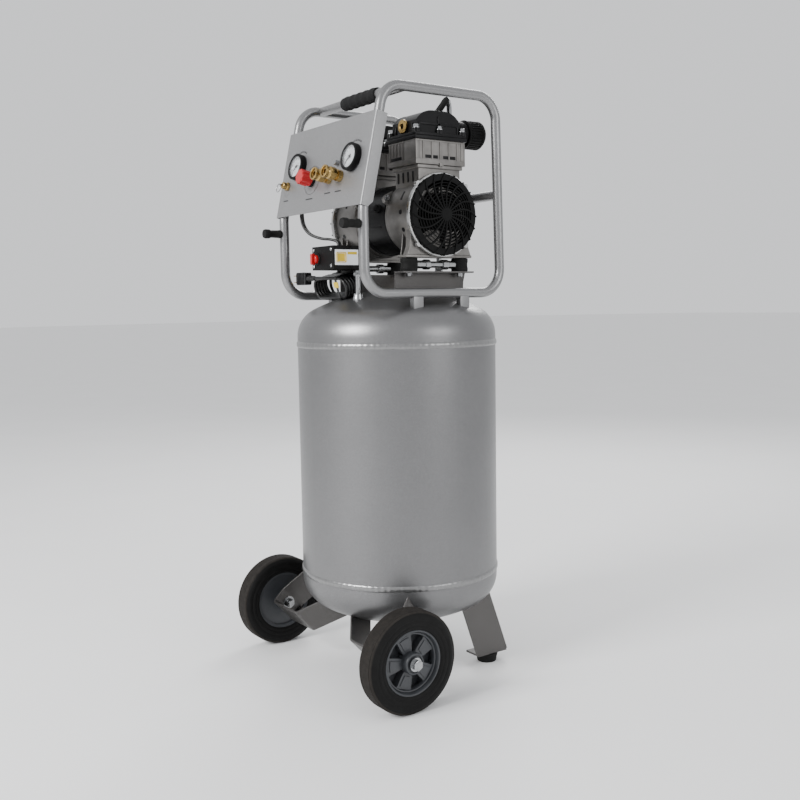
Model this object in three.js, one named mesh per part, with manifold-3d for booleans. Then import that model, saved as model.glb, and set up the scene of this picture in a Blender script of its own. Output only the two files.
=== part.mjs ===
// Portable twin-cylinder oil-free air compressor on an upright tank.
// Millimetres, +Z up. Front (control panel) faces -Y, the shaft of the pump lies along X.
import * as THREE from 'three';
import { mergeVertices } from 'three/addons/utils/BufferGeometryUtils.js';
import Module from 'manifold-3d';

const wasm = await Module();
wasm.setup();

// ---------- driving dimensions ----------
const GAP = 0.3;                 // clearance between pieces that touch
const TANK_AXIS_Y = 23.5;        // puts the footprint's middle on the origin

const TANK_R = 200;              // outer radius of the tank
const TANK_WALL = 3;
const TANK_SIDES = 36;
const SEAM_LOW = 200;            // height of the lower weld seam
const SEAM_HIGH = 657;           // height of the upper weld seam
const SKIRT = 15;                // straight part of each head past its seam
const CROWN_R = 375;             // crown radius of the heads
const KNUCKLE_R = 60;            // knuckle radius of the heads
const BEAD_R = 202;              // outer radius over the weld beads

const TUBE_R = 9.5;              // frame tube, 3/4 inch
const LOOP_X = 148;              // centre plane of each frame loop
const LOOP_FRONT = -170.5;       // centre line of the front tube
const LOOP_REAR_LOW = 149;
const LOOP_REAR_HIGH = 139;
const LOOP_LOW = 754;
const LOOP_HIGH = 1130;
const LOOP_BEND = 46;

const WHEEL_R = 95;
const WHEEL_Y = -154;
const HUB_R = 61;
const HUB_OUT = 267;             // outer face of the hub
const HUB_IN = 216;              // inner face of the hub
const TYRE_HALF = 21.5;
const AXLE_R = 6;

const PANEL_HALF = 159.5;
const PANEL_TOP = new THREE.Vector3(0, -145.2, 1080.3);
const PANEL_LEAN = 12.6 * Math.PI / 180;
const PANEL_LENGTH = 172.4;
const PANEL_SHEET = 1.6;
const PANEL_FLANGE = 24;

const PUMP_Y = 15;               // shaft axis of the motor and pump
const PUMP_Z = 902;
const HEAD_X = 90;               // middle of each cylinder along the shaft
const COVER_FACE = 153.6;        // outermost face of a fan cover

const MOUNT_X = 112;
const MOUNT_DY = 61;
const DECK_Z = 796;              // top of the motor platform

// ---------- materials ----------
const finish = (color, roughness, metalness) => new THREE.MeshStandardMaterial({ color, roughness, metalness });
const SILVER = finish(0x9a9b9c, 0.38, 0.55);
const CAST = finish(0x9c9893, 0.45, 0.75);
const BLACK = finish(0x161616, 0.5, 0.0);
const RUBBER = finish(0x1d1c1b, 0.85, 0.0);
const HUB_GREY = finish(0x4b5057, 0.5, 0.0);
const BRASS = finish(0xa88a4e, 0.3, 0.95);
const STEEL = finish(0xb8babc, 0.25, 0.95);
const RED = finish(0xd41420, 0.4, 0.0);
const WHITE = finish(0xe6e8ea, 0.4, 0.0);

// ---------- solid helpers ----------
// A closed mesh with shared vertices and outward faces.
function closed(geometry) {
  let g = geometry.clone();
  g.deleteAttribute('normal');
  g.deleteAttribute('uv');
  g = mergeVertices(g, 1e-4);
  const p = g.attributes.position;
  const index = Array.from(g.index.array);
  const kept = [];
  for (let i = 0; i < index.length; i += 3) {
    const [a, b, c] = [index[i], index[i + 1], index[i + 2]];
    if (a !== b && b !== c && c !== a) kept.push(a, b, c);
  }
  const [va, vb, vc] = [new THREE.Vector3(), new THREE.Vector3(), new THREE.Vector3()];
  let volume = 0;
  for (let i = 0; i < kept.length; i += 3) {
    va.fromBufferAttribute(p, kept[i]);
    vb.fromBufferAttribute(p, kept[i + 1]);
    vc.fromBufferAttribute(p, kept[i + 2]);
    volume += va.dot(vb.cross(vc));
  }
  if (volume < 0) {
    for (let i = 0; i < kept.length; i += 3) [kept[i], kept[i + 1]] = [kept[i + 1], kept[i]];
  }
  g.setIndex(kept);
  return g;
}

function toSolid(geometry) {
  const g = closed(geometry);
  return new wasm.Manifold(new wasm.Mesh({
    numProp: 3,
    vertProperties: new Float32Array(g.attributes.position.array),
    triVerts: new Uint32Array(g.index.array),
  }));
}

function toGeometry(solid) {
  const mesh = solid.getMesh();
  const g = new THREE.BufferGeometry();
  g.setAttribute('position', new THREE.BufferAttribute(new Float32Array(mesh.vertProperties), 3));
  g.setIndex(Array.from(mesh.triVerts));
  return g;
}

const join = (...parts) => toGeometry(parts.map(toSolid).reduce((sum, part) => sum.add(part)));
const cut = (base, ...tools) => toGeometry(tools.map(toSolid).reduce((rest, tool) => rest.subtract(tool), toSolid(base)));

// ---------- shape helpers ----------
// Box between two corners.
function box(x0, x1, y0, y1, z0, z1) {
  return new THREE.BoxGeometry(x1 - x0, y1 - y0, z1 - z0)
    .translate((x0 + x1) / 2, (y0 + y1) / 2, (z0 + z1) / 2);
}

// Turned piece: profile pairs are [radius, height along the axis].
function turned(profile, segments, axis = 'z') {
  const g = new THREE.LatheGeometry(profile.map(([r, h]) => new THREE.Vector2(r, h)), segments);
  if (axis === 'z') g.rotateX(Math.PI / 2);
  if (axis === 'x') g.rotateZ(-Math.PI / 2);
  return g;
}

const rod = (radius, from, to, segments, axis = 'z') =>
  turned([[0, from], [radius, from], [radius, to], [0, to]], segments, axis);

const pipe = (outer, inner, from, to, segments, axis = 'z') =>
  turned([[inner, from], [outer, from], [outer, to], [inner, to], [inner, from]], segments, axis);

// Flat outline in the YZ plane, [y, z] points, thickened along X.
function slabX(outline, x0, x1) {
  const g = new THREE.ExtrudeGeometry(new THREE.Shape(outline.map(([y, z]) => new THREE.Vector2(y, z))),
    { depth: x1 - x0, bevelEnabled: false });
  return g.rotateX(Math.PI / 2).rotateZ(Math.PI / 2).translate(x0, 0, 0);
}

// Flat shape drawn in the XZ plane, thickened along +Y from y0.
function slabY(shape, y0, y1, curveSegments = 8) {
  const g = new THREE.ExtrudeGeometry(shape, { depth: y1 - y0, bevelEnabled: false, curveSegments });
  return g.rotateX(Math.PI / 2).translate(0, y1, 0);
}

// A line through corner points whose corners are arcs, one bend radius for each corner.
class BentLine extends THREE.Curve {
  constructor(corners, bends, arcSteps) {
    super();
    this.stations = [corners[0].clone()];
    for (let i = 1; i < corners.length - 1; i += 1) {
      const [a, b, c] = [corners[i - 1], corners[i], corners[i + 1]];
      const back = a.clone().sub(b).normalize();
      const ahead = c.clone().sub(b).normalize();
      const half = back.angleTo(ahead) / 2;
      const radius = bends[i - 1];
      const reach = radius / Math.tan(half);
      const start = b.clone().addScaledVector(back, reach);
      const centre = b.clone().addScaledVector(back.clone().add(ahead).normalize(), radius / Math.sin(half));
      const normal = back.clone().cross(ahead).normalize();
      const turn = Math.PI - 2 * half;
      const spoke = start.clone().sub(centre);
      for (let k = 0; k <= arcSteps; k += 1) {
        this.stations.push(centre.clone().add(spoke.clone().applyAxisAngle(normal, -turn * k / arcSteps)));
      }
    }
    this.stations.push(corners.at(-1).clone());
    this.steps = this.stations.length - 1;
  }

  getUtoTmapping(u) { return u; }

  getPoint(t, target = new THREE.Vector3()) {
    const f = Math.min(Math.max(t, 0), 1) * this.steps;
    const i = Math.min(Math.floor(f), this.steps - 1);
    return target.lerpVectors(this.stations[i], this.stations[i + 1], f - i);
  }
}

const disc = (radius) => new THREE.Shape().absarc(0, 0, radius, 0, 2 * Math.PI);
const v3 = (x, y, z) => new THREE.Vector3(x, y, z);

// Round bar along a path; sides is even.
function bar(path, radius, sides, steps) {
  return new THREE.ExtrudeGeometry(disc(radius),
    { steps, extrudePath: path, bevelEnabled: false, curveSegments: sides / 2 });
}

const straight = (a, b, radius, sides = 10) => bar(new THREE.LineCurve3(a, b), radius, sides, 1);
const mirrored = (geometry) => closed(geometry.clone().scale(-1, 1, 1));

// ---------- scene ----------
const compressor = new THREE.Group();
const frame = new THREE.Group();
frame.position.y = TANK_AXIS_Y;
compressor.add(frame);

function place(name, geometry, material, parent = frame) {
  const mesh = new THREE.Mesh(closed(geometry), material);
  mesh.name = name;
  parent.add(mesh);
  return mesh;
}

// The same piece on the right (+X) and, mirrored, on the left.
function pair(name, geometry, material, parent = frame) {
  place(`${name}_right`, geometry, material, parent);
  place(`${name}_left`, mirrored(geometry), material, parent);
}

// ---------- tank ----------
// Torispherical head, [radius, height past the seam] from the seam to the axis,
// for an offset from the outer skin.
function headProfile(offset, knuckleSteps, crownSteps) {
  const radius = TANK_R + offset;
  const knuckle = KNUCKLE_R + offset;
  const crown = CROWN_R + offset;
  const flank = Math.asin((TANK_R - KNUCKLE_R) / (CROWN_R - KNUCKLE_R));
  const drop = (CROWN_R - KNUCKLE_R) * Math.cos(flank);
  const points = [];
  for (let k = 0; k <= knuckleSteps; k += 1) {
    const a = Math.PI / 2 + (flank - Math.PI / 2) * k / knuckleSteps;
    points.push([radius - knuckle + knuckle * Math.sin(a), SKIRT + knuckle * Math.cos(a)]);
  }
  for (let k = 1; k <= crownSteps; k += 1) {
    const a = flank * (1 - k / crownSteps);
    points.push([crown * Math.sin(a), SKIRT - drop + crown * Math.cos(a)]);
  }
  return points;
}

// The whole tank as a solid, grown by an offset, with or without its weld beads.
function tankSolid(offset, beads, knuckleSteps = 4, crownSteps = 3) {
  const head = headProfile(offset, knuckleSteps, crownSteps);
  const bead = (z) => [[TANK_R + offset, z - 4 - offset], [BEAD_R + offset, z], [TANK_R + offset, z + 4 + offset]];
  return turned([
    ...head.map(([r, h]) => [r, SEAM_LOW - h]).reverse(),
    ...(beads ? [...bead(SEAM_LOW), ...bead(SEAM_HIGH)] : []),
    ...head.map(([r, h]) => [r, SEAM_HIGH + h]),
  ], TANK_SIDES);
}

const headDepth = headProfile(0, 4, 3).at(-1)[1];
const tankBottom = SEAM_LOW - headDepth;
const weld = tankSolid(GAP, true);
const DRAIN_R = 9;

function tankShell() {
  const drain = rod(DRAIN_R, tankBottom - 5, tankBottom + 20, 16);
  return cut(tankSolid(0, true), tankSolid(-TANK_WALL, false, 2, 2), drain);
}

place('tank_shell', tankShell(), SILVER);

// Quarter-turn drain cock in the lowest point of the tank; its lever swings down to open it.
const COCK_Z = tankBottom - 11;
place('drain_valve', join(
  rod(8.5, tankBottom - 26, tankBottom + 2, 16),
  rod(12, tankBottom - 17, tankBottom - 6, 6),
), BRASS);
place('drain_lever', join(
  rod(5, -17, -12 - GAP, 12, 'x'),
  box(-20, -16, -36, 5, -4, 4),
).translate(0, 0, COCK_Z), RED);

// ---------- wheels ----------
function hubGeometry() {
  const mid = (HUB_OUT + HUB_IN) / 2;
  const bore = AXLE_R + GAP;
  const blank = turned([
    [bore, HUB_IN], [17, HUB_IN], [17, mid - 6], [54, mid - 6], [55, HUB_IN], [HUB_R, HUB_IN],
    [HUB_R, HUB_OUT], [55, HUB_OUT], [54, mid + 6], [17, mid + 6], [17, HUB_OUT], [bore, HUB_OUT],
    [bore, HUB_IN],
  ], 26, 'x');
  const windows = [];
  for (let k = 0; k < 5; k += 1) {
    const wedge = slabX([[-4, 21], [4, 21], [15, 50], [-15, 50]], mid - 10, mid + 10);
    windows.push(wedge.rotateX(2 * Math.PI * k / 5 + 0.3));
  }
  return cut(blank, ...windows);
}

function tyreGeometry() {
  const mid = (HUB_OUT + HUB_IN) / 2;
  const inner = HUB_R + GAP;
  return turned([
    [inner, mid - 19], [68, mid - TYRE_HALF], [86, mid - TYRE_HALF], [WHEEL_R, mid - 12],
    [WHEEL_R, mid + 12], [86, mid + TYRE_HALF], [68, mid + TYRE_HALF], [inner, mid + 19],
    [inner, mid - 19],
  ], 36, 'x');
}

const PLATE_X = 205;             // middle of the bracket plate that carries the wheel
const PLATE_T = 4;

const boltGeometry = join(
  rod(AXLE_R, PLATE_X - 12, HUB_OUT + 5, 12, 'x'),
  rod(11, HUB_OUT + GAP, HUB_OUT + 2.5, 14, 'x'),
  rod(9.5, HUB_OUT + 2, HUB_OUT + 9, 6, 'x'),
  rod(11, PLATE_X - PLATE_T / 2 - GAP - 8, PLATE_X - PLATE_T / 2 - GAP, 6, 'x'),
  rod(8.5, PLATE_X + PLATE_T / 2 + GAP, HUB_IN - GAP, 12, 'x'),
);

// Channel bent from strip: it leans back 43 degrees and its two legs run up to the tank, the outer one leaning in.
function bracketGeometry() {
  const tilt = 43 * Math.PI / 180;
  const web = -70.4;             // along the lean, from the tank's axis
  const half = 31.5;
  const legTop = 56;
  const outline = new THREE.Shape([
    [PLATE_X + 2, web], [105, web], [12, web + 86], [12, web + 92], [107, web + 4], [PLATE_X - 2, web + 4],
    [PLATE_X - 2, -34], [167, legTop], [171.2, legTop], [PLATE_X + 2, -34],
  ].map(([x, s]) => new THREE.Vector2(x, s)));
  const strip = new THREE.ExtrudeGeometry(outline, { depth: 2 * half, bevelEnabled: false });
  strip.translate(0, 0, -half);
  strip.rotateX(tilt);           // local Y climbs towards the tank
  const across = WHEEL_Y * Math.sin(tilt) - WHEEL_R * Math.cos(tilt);
  strip.translate(0, Math.sin(tilt) * across, -Math.cos(tilt) * across);
  return strip;
}

const axleHole = rod(AXLE_R + GAP, 150, 240, 16, 'x').translate(0, WHEEL_Y, WHEEL_R);
pair('wheel_bracket', cut(bracketGeometry(), weld, axleHole), SILVER);
pair('axle_bolt', boltGeometry.translate(0, WHEEL_Y, WHEEL_R), STEEL);
pair('wheel_hub', hubGeometry().translate(0, WHEEL_Y, WHEEL_R), HUB_GREY);
pair('tyre', tyreGeometry().translate(0, WHEEL_Y, WHEEL_R), RUBBER);

// ---------- rear legs ----------
const LEG_X = 141;
const FOOT = v3(124, 124, 0);
const FOOT_H = 18;

function legGeometry() {
  const plate = slabX([[88, 22], [168, 22], [108, 185], [30, 185]], LEG_X - 1.5, LEG_X + 1.5);
  const shelf = box(FOOT.x - 22, LEG_X + 1.5, 92, 166, FOOT_H + GAP, FOOT_H + GAP + 3.7);
  return join(plate, shelf);
}

pair('rear_leg', cut(legGeometry(), weld), SILVER);
pair('foot', turned([[0, 0], [19, 0], [21, 2], [23, FOOT_H], [0, FOOT_H]], 20)
  .translate(FOOT.x, FOOT.y + 4, 0), RUBBER);

// ---------- frame loops ----------
// The front tube stands upright up to here and leans back with the panel above it.
const behind = PANEL_SHEET + TUBE_R + GAP;
const LEAN_Z = PANEL_TOP.z - behind * Math.sin(PANEL_LEAN)
  - (PANEL_TOP.y + behind * Math.cos(PANEL_LEAN) - LOOP_FRONT) / Math.tan(PANEL_LEAN);
const LOOP_TOP_FRONT = LOOP_FRONT + (LOOP_HIGH - LEAN_Z) * Math.tan(PANEL_LEAN);

function loopGeometry() {
  const ring = new BentLine([
    v3(LOOP_X, 0, LOOP_LOW), v3(LOOP_X, LOOP_FRONT, LOOP_LOW), v3(LOOP_X, LOOP_FRONT, LEAN_Z),
    v3(LOOP_X, LOOP_TOP_FRONT, LOOP_HIGH), v3(LOOP_X, LOOP_REAR_HIGH, LOOP_HIGH),
    v3(LOOP_X, LOOP_REAR_LOW, LOOP_LOW), v3(LOOP_X, 0, LOOP_LOW),
  ], [LOOP_BEND, 120, LOOP_BEND, LOOP_BEND, LOOP_BEND], 4);
  const tube = new THREE.TubeGeometry(ring, ring.steps, TUBE_R, 10, true);
  const saddle = (y) => box(LOOP_X - 7, LOOP_X + 7, y - 11, y + 11, LOOP_LOW - 60, LOOP_LOW - 4);
  return cut(join(tube, saddle(-55), saddle(55)), weld);
}

const HANDLE_Y = -77;
const CROSS_Z = 944;
const crossY = LOOP_REAR_LOW + (LOOP_REAR_HIGH - LOOP_REAR_LOW) * (CROSS_Z - LOOP_LOW) / (LOOP_HIGH - LOOP_LOW);
const spanX = LOOP_X - TUBE_R - GAP;
const loop = loopGeometry();

// The cross tube behind the motor is welded to the left loop.
place('frame_loop_right', loop, SILVER);
place('frame_loop_left', join(mirrored(loop),
  straight(v3(-LOOP_X, crossY, CROSS_Z), v3(spanX, crossY, CROSS_Z), TUBE_R)), SILVER);
place('handle_bar', straight(v3(-spanX, HANDLE_Y, LOOP_HIGH), v3(spanX, HANDLE_Y, LOOP_HIGH), TUBE_R), SILVER);
const GRIP = [-66, 64];
place('foam_grip', pipe(TUBE_R + 5, TUBE_R + GAP, GRIP[0], GRIP[1], 20, 'x')
  .translate(0, HANDLE_Y, LOOP_HIGH), RUBBER);

// Rubber-sleeved pegs for the coiled air hose.
const PEG_Z = 879;
pair('hose_peg', turned([[0, -37], [8, -37], [9.5, -35], [9.5, -27], [7.5, -25], [7.5, 0], [0, 0]], 16)
  .rotateX(-Math.PI / 2).translate(LOOP_X, LOOP_FRONT - TUBE_R - GAP, PEG_Z), BLACK);

// ---------- motor platform and rubber mounts ----------
const DECK = { inner: 97, outer: 127, front: -70, rear: 100, sheet: 3 };

function platformGeometry() {
  const side = () => {
    const deck = box(DECK.inner, DECK.outer, DECK.front, DECK.rear, DECK_Z - DECK.sheet, DECK_Z);
    const wall = slabX([[DECK.front, DECK_Z], [DECK.front, DECK_Z - 80], [DECK.rear - 8, DECK_Z - 80],
      [DECK.rear - 5, DECK_Z - 20], [DECK.rear, DECK_Z]], DECK.inner, DECK.inner + DECK.sheet);
    return join(deck, wall);
  };
  const strap = box(-DECK.inner - 1, DECK.inner + 1, 58, 96, DECK_Z - DECK.sheet, DECK_Z);
  return cut(join(side(), mirrored(side()), strap), weld);
}

place('motor_platform', platformGeometry(), SILVER);

const MOUNT_TOP = 821;
const mountGeometry = rod(16.5, DECK_Z + GAP, MOUNT_TOP, 20);
pair('rubber_mount_front', mountGeometry.clone().translate(MOUNT_X, PUMP_Y - MOUNT_DY, 0), RUBBER);
pair('rubber_mount_rear', mountGeometry.clone().translate(MOUNT_X, PUMP_Y + MOUNT_DY, 0), RUBBER);

// ---------- pump: local origin on the shaft axis ----------
const pump = new THREE.Group();
pump.position.set(0, PUMP_Y, PUMP_Z);
frame.add(pump);

const CASE_R = 74;
const CASE_IN = 45;              // inner end of a crankcase
const CASE_OUT = 140;            // open end, towards the fan cover
const BLOCK = { x0: 44, x1: 136, half: 58.7, z0: 93.3, z1: 139 };
const BORE_R = 33;

function crankcaseGeometry() {
  const footZ = MOUNT_TOP + GAP - PUMP_Z;
  const body = join(
    rod(CASE_R, CASE_IN, CASE_OUT, 28, 'x'),
    box(52, 133, -52, 52, 0, 93),
    box(96, 130, -78, 78, footZ, footZ + 6),
    slabX([[-66, footZ + 3], [66, footZ + 3], [52, -30], [-52, -30]], 100, 126),
  );
  return cut(body,
    rod(CASE_R - 6, CASE_IN + 6, CASE_OUT + 5, 28, 'x'),
    rod(BORE_R + 3, 40, 100, 24).translate(HEAD_X, 0, 0),
    rod(10, CASE_IN - 5, CASE_IN + 10, 16, 'x'));
}

function cylinderGeometry() {
  const block = cut(box(BLOCK.x0, BLOCK.x1, -BLOCK.half, BLOCK.half, BLOCK.z0, BLOCK.z1),
    rod(BORE_R, BLOCK.z0 - 5, BLOCK.z1 + 5, 28).translate(HEAD_X, 0, 0));
  const slot = (y0, y1) => box(BLOCK.x1 - 9, BLOCK.x1 + 5, y0, y1, 105, 112);
  const end = (y) => box(HEAD_X - 20, HEAD_X + 20, y - 8, y + 8, 105, 112);
  return cut(block, slot(-44, -8), slot(8, 44), end(-BLOCK.half), end(BLOCK.half));
}

const HEAD = { z0: BLOCK.z1 + GAP, base: 13, wall: 18, rise: 28, half: 52 };

function headGeometry() {
  const baseTop = HEAD.z0 + HEAD.base;
  const shoulder = baseTop + HEAD.wall;
  const radius = (HEAD.half ** 2 + HEAD.rise ** 2) / (2 * HEAD.rise);
  const sweep = Math.asin(HEAD.half / radius);
  const arch = [[-HEAD.half, baseTop - 1], [HEAD.half, baseTop - 1]];
  for (let k = 0; k <= 10; k += 1) {
    const a = sweep * (1 - k / 5);
    arch.push([radius * Math.sin(a), shoulder + HEAD.rise - radius + radius * Math.cos(a)]);
  }
  const solid = join(
    box(BLOCK.x0 - 3, BLOCK.x1 + 3, -BLOCK.half - 3, BLOCK.half + 3, HEAD.z0, baseTop),
    slabX(arch, 50, 130),
    rod(13, HEAD.half - 2, HEAD.half + 6, 18).rotateX(Math.PI / 2).translate(HEAD_X, 0, baseTop + 14.5),
  );
  return cut(solid, rod(28, HEAD.z0 - 5, baseTop + 12, 24).translate(HEAD_X, 0, 0),
    rod(5, HEAD.half - 12, HEAD.half + 12, 12).rotateX(Math.PI / 2).translate(HEAD_X, 0, baseTop + 14.5));
}

const FILTER_Z = HEAD.z0 + HEAD.base + 11;

function filterGeometry() {
  return turned([[0, 0], [10.5, 0], [10.5, 12], [24, 14], [24, 34], [28, 36], [28, 74], [24, 78], [0, 78]], 20)
    .rotateX(-Math.PI / 2).translate(HEAD_X, HEAD.half + GAP, FILTER_Z);
}

// Spoked grille: rim, middle ring, hub and ribs, dished outwards.
function fanCoverGeometry() {
  const rib = () => slabX([[9, -1.6], [70, -1.6], [70, 1.6], [9, 1.6]], COVER_FACE - 6, COVER_FACE - 2.5);
  const parts = [
    turned([[68, CASE_OUT + GAP], [76.5, CASE_OUT + GAP], [76.5, COVER_FACE - 7], [72, COVER_FACE - 2.5],
      [68, COVER_FACE - 2.5], [68, CASE_OUT + GAP]], 28, 'x'),
    pipe(44, 41, COVER_FACE - 6, COVER_FACE - 2, 18, 'x'),
    rod(13, COVER_FACE - 7, COVER_FACE, 16, 'x'),
  ];
  for (let k = 0; k < 9; k += 1) parts.push(rib().rotateX(2 * Math.PI * k / 9));
  return join(...parts);
}

const FAN_X = [118, 138];
const SHAFT_R = 8;

// Motor shaft with its rotor, the two crank eccentrics and the cooling fan on each end.
function rotorGeometry() {
  const parts = [
    rod(SHAFT_R, -FAN_X[1] - 2, FAN_X[1] + 2, 12, 'x'),
    rod(38, -32, 32, 20, 'x'),
  ];
  for (const s of [-1, 1]) {
    parts.push(rod(20, -6, 6, 16, 'x').translate(s * HEAD_X, 0, -12 * s));
    parts.push(rod(16, FAN_X[0] - 2, FAN_X[1], 12, 'x').scale(s, 1, 1));
    for (let k = 0; k < 6; k += 1) {
      const blade = box(-1.2, 1.2, -11, 11, 12, 64).rotateZ(0.6);
      parts.push(blade.translate((FAN_X[0] + FAN_X[1]) / 2, 0, 0).rotateX(Math.PI * k / 3).scale(s, 1, 1));
    }
  }
  return join(...parts);
}

pair('crankcase', crankcaseGeometry(), CAST, pump);
pair('cylinder', cylinderGeometry(), CAST, pump);
pair('cylinder_head', headGeometry(), BLACK, pump);
pair('intake_filter', filterGeometry(), BLACK, pump);
pair('fan_cover', fanCoverGeometry(), BLACK, pump);
place('rotor', rotorGeometry(), STEEL, pump);
place('stator_shell', cut(rod(70, -CASE_IN + GAP, CASE_IN - GAP, 32, 'x'),
  rod(40, -CASE_IN - 1, CASE_IN + 1, 20, 'x')), BLACK, pump);

// Wobble piston: crown and rod in one piece, its big end left open above the eccentric.
pair('piston', join(
  rod(BORE_R - 0.5, 106, 120, 28).translate(HEAD_X, 0, 0),
  box(HEAD_X - 5, HEAD_X + 5, -9, 9, 47, 107),
), STEEL, pump);

// ---------- air line ----------
// Crossover between the heads, with the hose that arches over and drops behind the motor.
const CROSS = v3(0, 50, PUMP_Z + HEAD.z0 + HEAD.base + 11);
const LINE_R = 6.5;
const VALVE = v3(-10, 118, 0);   // check valve, behind the motor
const domeHeight = (x, y) => SEAM_HIGH + headDepth - CROWN_R + Math.sqrt(CROWN_R ** 2 - x * x - y * y);

const arch = new THREE.CatmullRomCurve3([
  v3(30, CROSS.y, CROSS.z), v3(37, 56, 1083), v3(50, 66, 1103), v3(62, 75, 1122), v3(64, 86, 1135),
  v3(58, 96, 1124), v3(50, 102, 1100), v3(32, 110, 1060), v3(6, 117, 1000), v3(-9, 119, 940),
  v3(-10, 118, 880), v3(-10, 118, 800),
]);
const crossHalf = 50 - GAP;
place('discharge_line', join(
  straight(v3(-crossHalf, CROSS.y, CROSS.z), v3(crossHalf, CROSS.y, CROSS.z), LINE_R, 10),
  bar(arch, LINE_R, 8, 22),
), BLACK);

const valveBase = domeHeight(VALVE.x, VALVE.y) - 6;
place('check_valve', cut(join(
  rod(9, valveBase, 799.5, 18).translate(VALVE.x, VALVE.y, 0),
  rod(13, 762, 782, 6).translate(VALVE.x, VALVE.y, 0),
), weld), BRASS);

// Short pipe from the tank up to the pressure switch.
const RISER = v3(34, -112, 0);
const SWITCH = { x0: -41, x1: 40, y0: -170, y1: -88, z0: 802, z1: 847 };
place('riser_pipe', cut(join(
  rod(5, 735, SWITCH.z0 - GAP, 16).translate(RISER.x, RISER.y, 0),
  rod(9, 735, 756, 16).translate(RISER.x, RISER.y, 0),
), weld), STEEL);

// ---------- pressure switch ----------
function roundedRect(x0, x1, y0, y1, r) {
  const s = new THREE.Shape();
  s.absarc(x1 - r, y1 - r, r, 0, Math.PI / 2);
  s.absarc(x0 + r, y1 - r, r, Math.PI / 2, Math.PI);
  s.absarc(x0 + r, y0 + r, r, Math.PI, 1.5 * Math.PI);
  s.absarc(x1 - r, y0 + r, r, 1.5 * Math.PI, 2 * Math.PI);
  return s;
}

const GLAND = v3(-41, -99, 815.5);
const GLAND_TIP = v3(-66, -93, 801.5);
const switchBody = new THREE.ExtrudeGeometry(roundedRect(SWITCH.x0, SWITCH.x1, SWITCH.y0, SWITCH.y1, 5),
  { depth: SWITCH.z1 - SWITCH.z0, bevelEnabled: false, curveSegments: 3 }).translate(0, 0, SWITCH.z0);
const glandRun = GLAND_TIP.clone().sub(GLAND);
const glandTurn = new THREE.Quaternion().setFromUnitVectors(v3(0, 0, 1), glandRun.clone().normalize());
place('pressure_switch', join(switchBody,
  turned([[0, -5], [6.5, -5], [6.5, 2], [3.9, glandRun.length()], [0, glandRun.length()]], 16)
    .applyQuaternion(glandTurn).translate(GLAND.x, GLAND.y, GLAND.z)), BLACK);

const LEVER = v3(-20, SWITCH.y0 - GAP, 823);
place('switch_lever', join(
  rod(8, 0, 8, 20).rotateX(Math.PI / 2),
  box(-3.5, 3.5, -14, -6, -11, 11),
).translate(LEVER.x, LEVER.y, LEVER.z), RED);

// Twin control hoses from the panel down to the switch, moulded together.
const hosePath = new THREE.CatmullRomCurve3([
  v3(-96, -156, 950), v3(-97, -158, 922), v3(-93, -157, 895), v3(-80, -150, 876), v3(-58, -138, 866),
  v3(-38, -128, 863), v3(-25, -121, 859), v3(-20, -119, 853), v3(-20, -119, SWITCH.z1 + GAP),
]);
const twin = new THREE.Shape();
twin.absarc(0, -2.6, 2.9, Math.PI - 0.46, 2 * Math.PI + 0.46);
twin.absarc(0, 2.6, 2.9, -0.46, Math.PI + 0.46);
place('control_hose', new THREE.ExtrudeGeometry(twin,
  { steps: 18, extrudePath: hosePath, bevelEnabled: false, curveSegments: 2 }), BLACK);

// ---------- power cord ----------
// The lead is wound into a flat hank that lies on the dome, leaning as far as the dome slopes there.
const CORD_R = 3.15;
const HANK = { middle: v3(-43, -112, 771.6), lean: 15 * Math.PI / 180, halfLength: 65, halfWidth: 21, radius: 22.5 };
place('cord_hank', cut(
  slabY(roundedRect(-HANK.halfLength, HANK.halfLength, -HANK.radius, HANK.radius, HANK.radius - 0.1),
    -HANK.halfWidth, HANK.halfWidth, 6)
    .rotateX(HANK.lean).translate(HANK.middle.x, HANK.middle.y, HANK.middle.z), weld), BLACK);

const PLUG = v3(-92, -149, 788);
const cordPath = new THREE.CatmullRomCurve3([
  v3(PLUG.x + 28 + GAP, PLUG.y, PLUG.z), v3(-50, -148.2, 787.8), v3(-36, -145.8, 786.8), v3(-22, -142.9, 785.3),
  v3(-10, -141.3, 784.4), v3(0, -140.9, 784),
]);
place('power_cord', bar(cordPath, CORD_R, 8, 8), BLACK);
place('power_plug', join(
  box(PLUG.x - 38, PLUG.x, PLUG.y - 9, PLUG.y + 9, PLUG.z - 13, PLUG.z + 13),
  turned([[0, 0], [6.5, 0], [4.2, 28], [0, 28]], 12, 'x').translate(PLUG.x - 0.1, PLUG.y, PLUG.z),
  box(PLUG.x - 55, PLUG.x - 37, PLUG.y - 3.2, PLUG.y + 3.2, PLUG.z + 5.6, PLUG.z + 7.2),
  box(PLUG.x - 55, PLUG.x - 37, PLUG.y - 3.2, PLUG.y + 3.2, PLUG.z - 7.2, PLUG.z - 5.6),
), BLACK);

// ---------- control panel: local X right, local Y up the sheet from its top edge, local Z outwards ----------
const panel = new THREE.Group();
panel.position.copy(PANEL_TOP);
panel.rotation.x = Math.PI / 2 - PANEL_LEAN;
frame.add(panel);

const GAUGES = { right: v3(108, -82, 0), left: v3(-92, -77, 0) };
const GAUGE_R = 26;
const KNOB = v3(-34, -108, 0);
const COUPLERS = { right: v3(71, -112, 0), left: v3(33, -112, 0) };
const SAFETY = v3(-129, -111, 0);
const HOLE_R = 9;

const at = (geometry, spot) => geometry.translate(spot.x, spot.y, 0);

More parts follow.
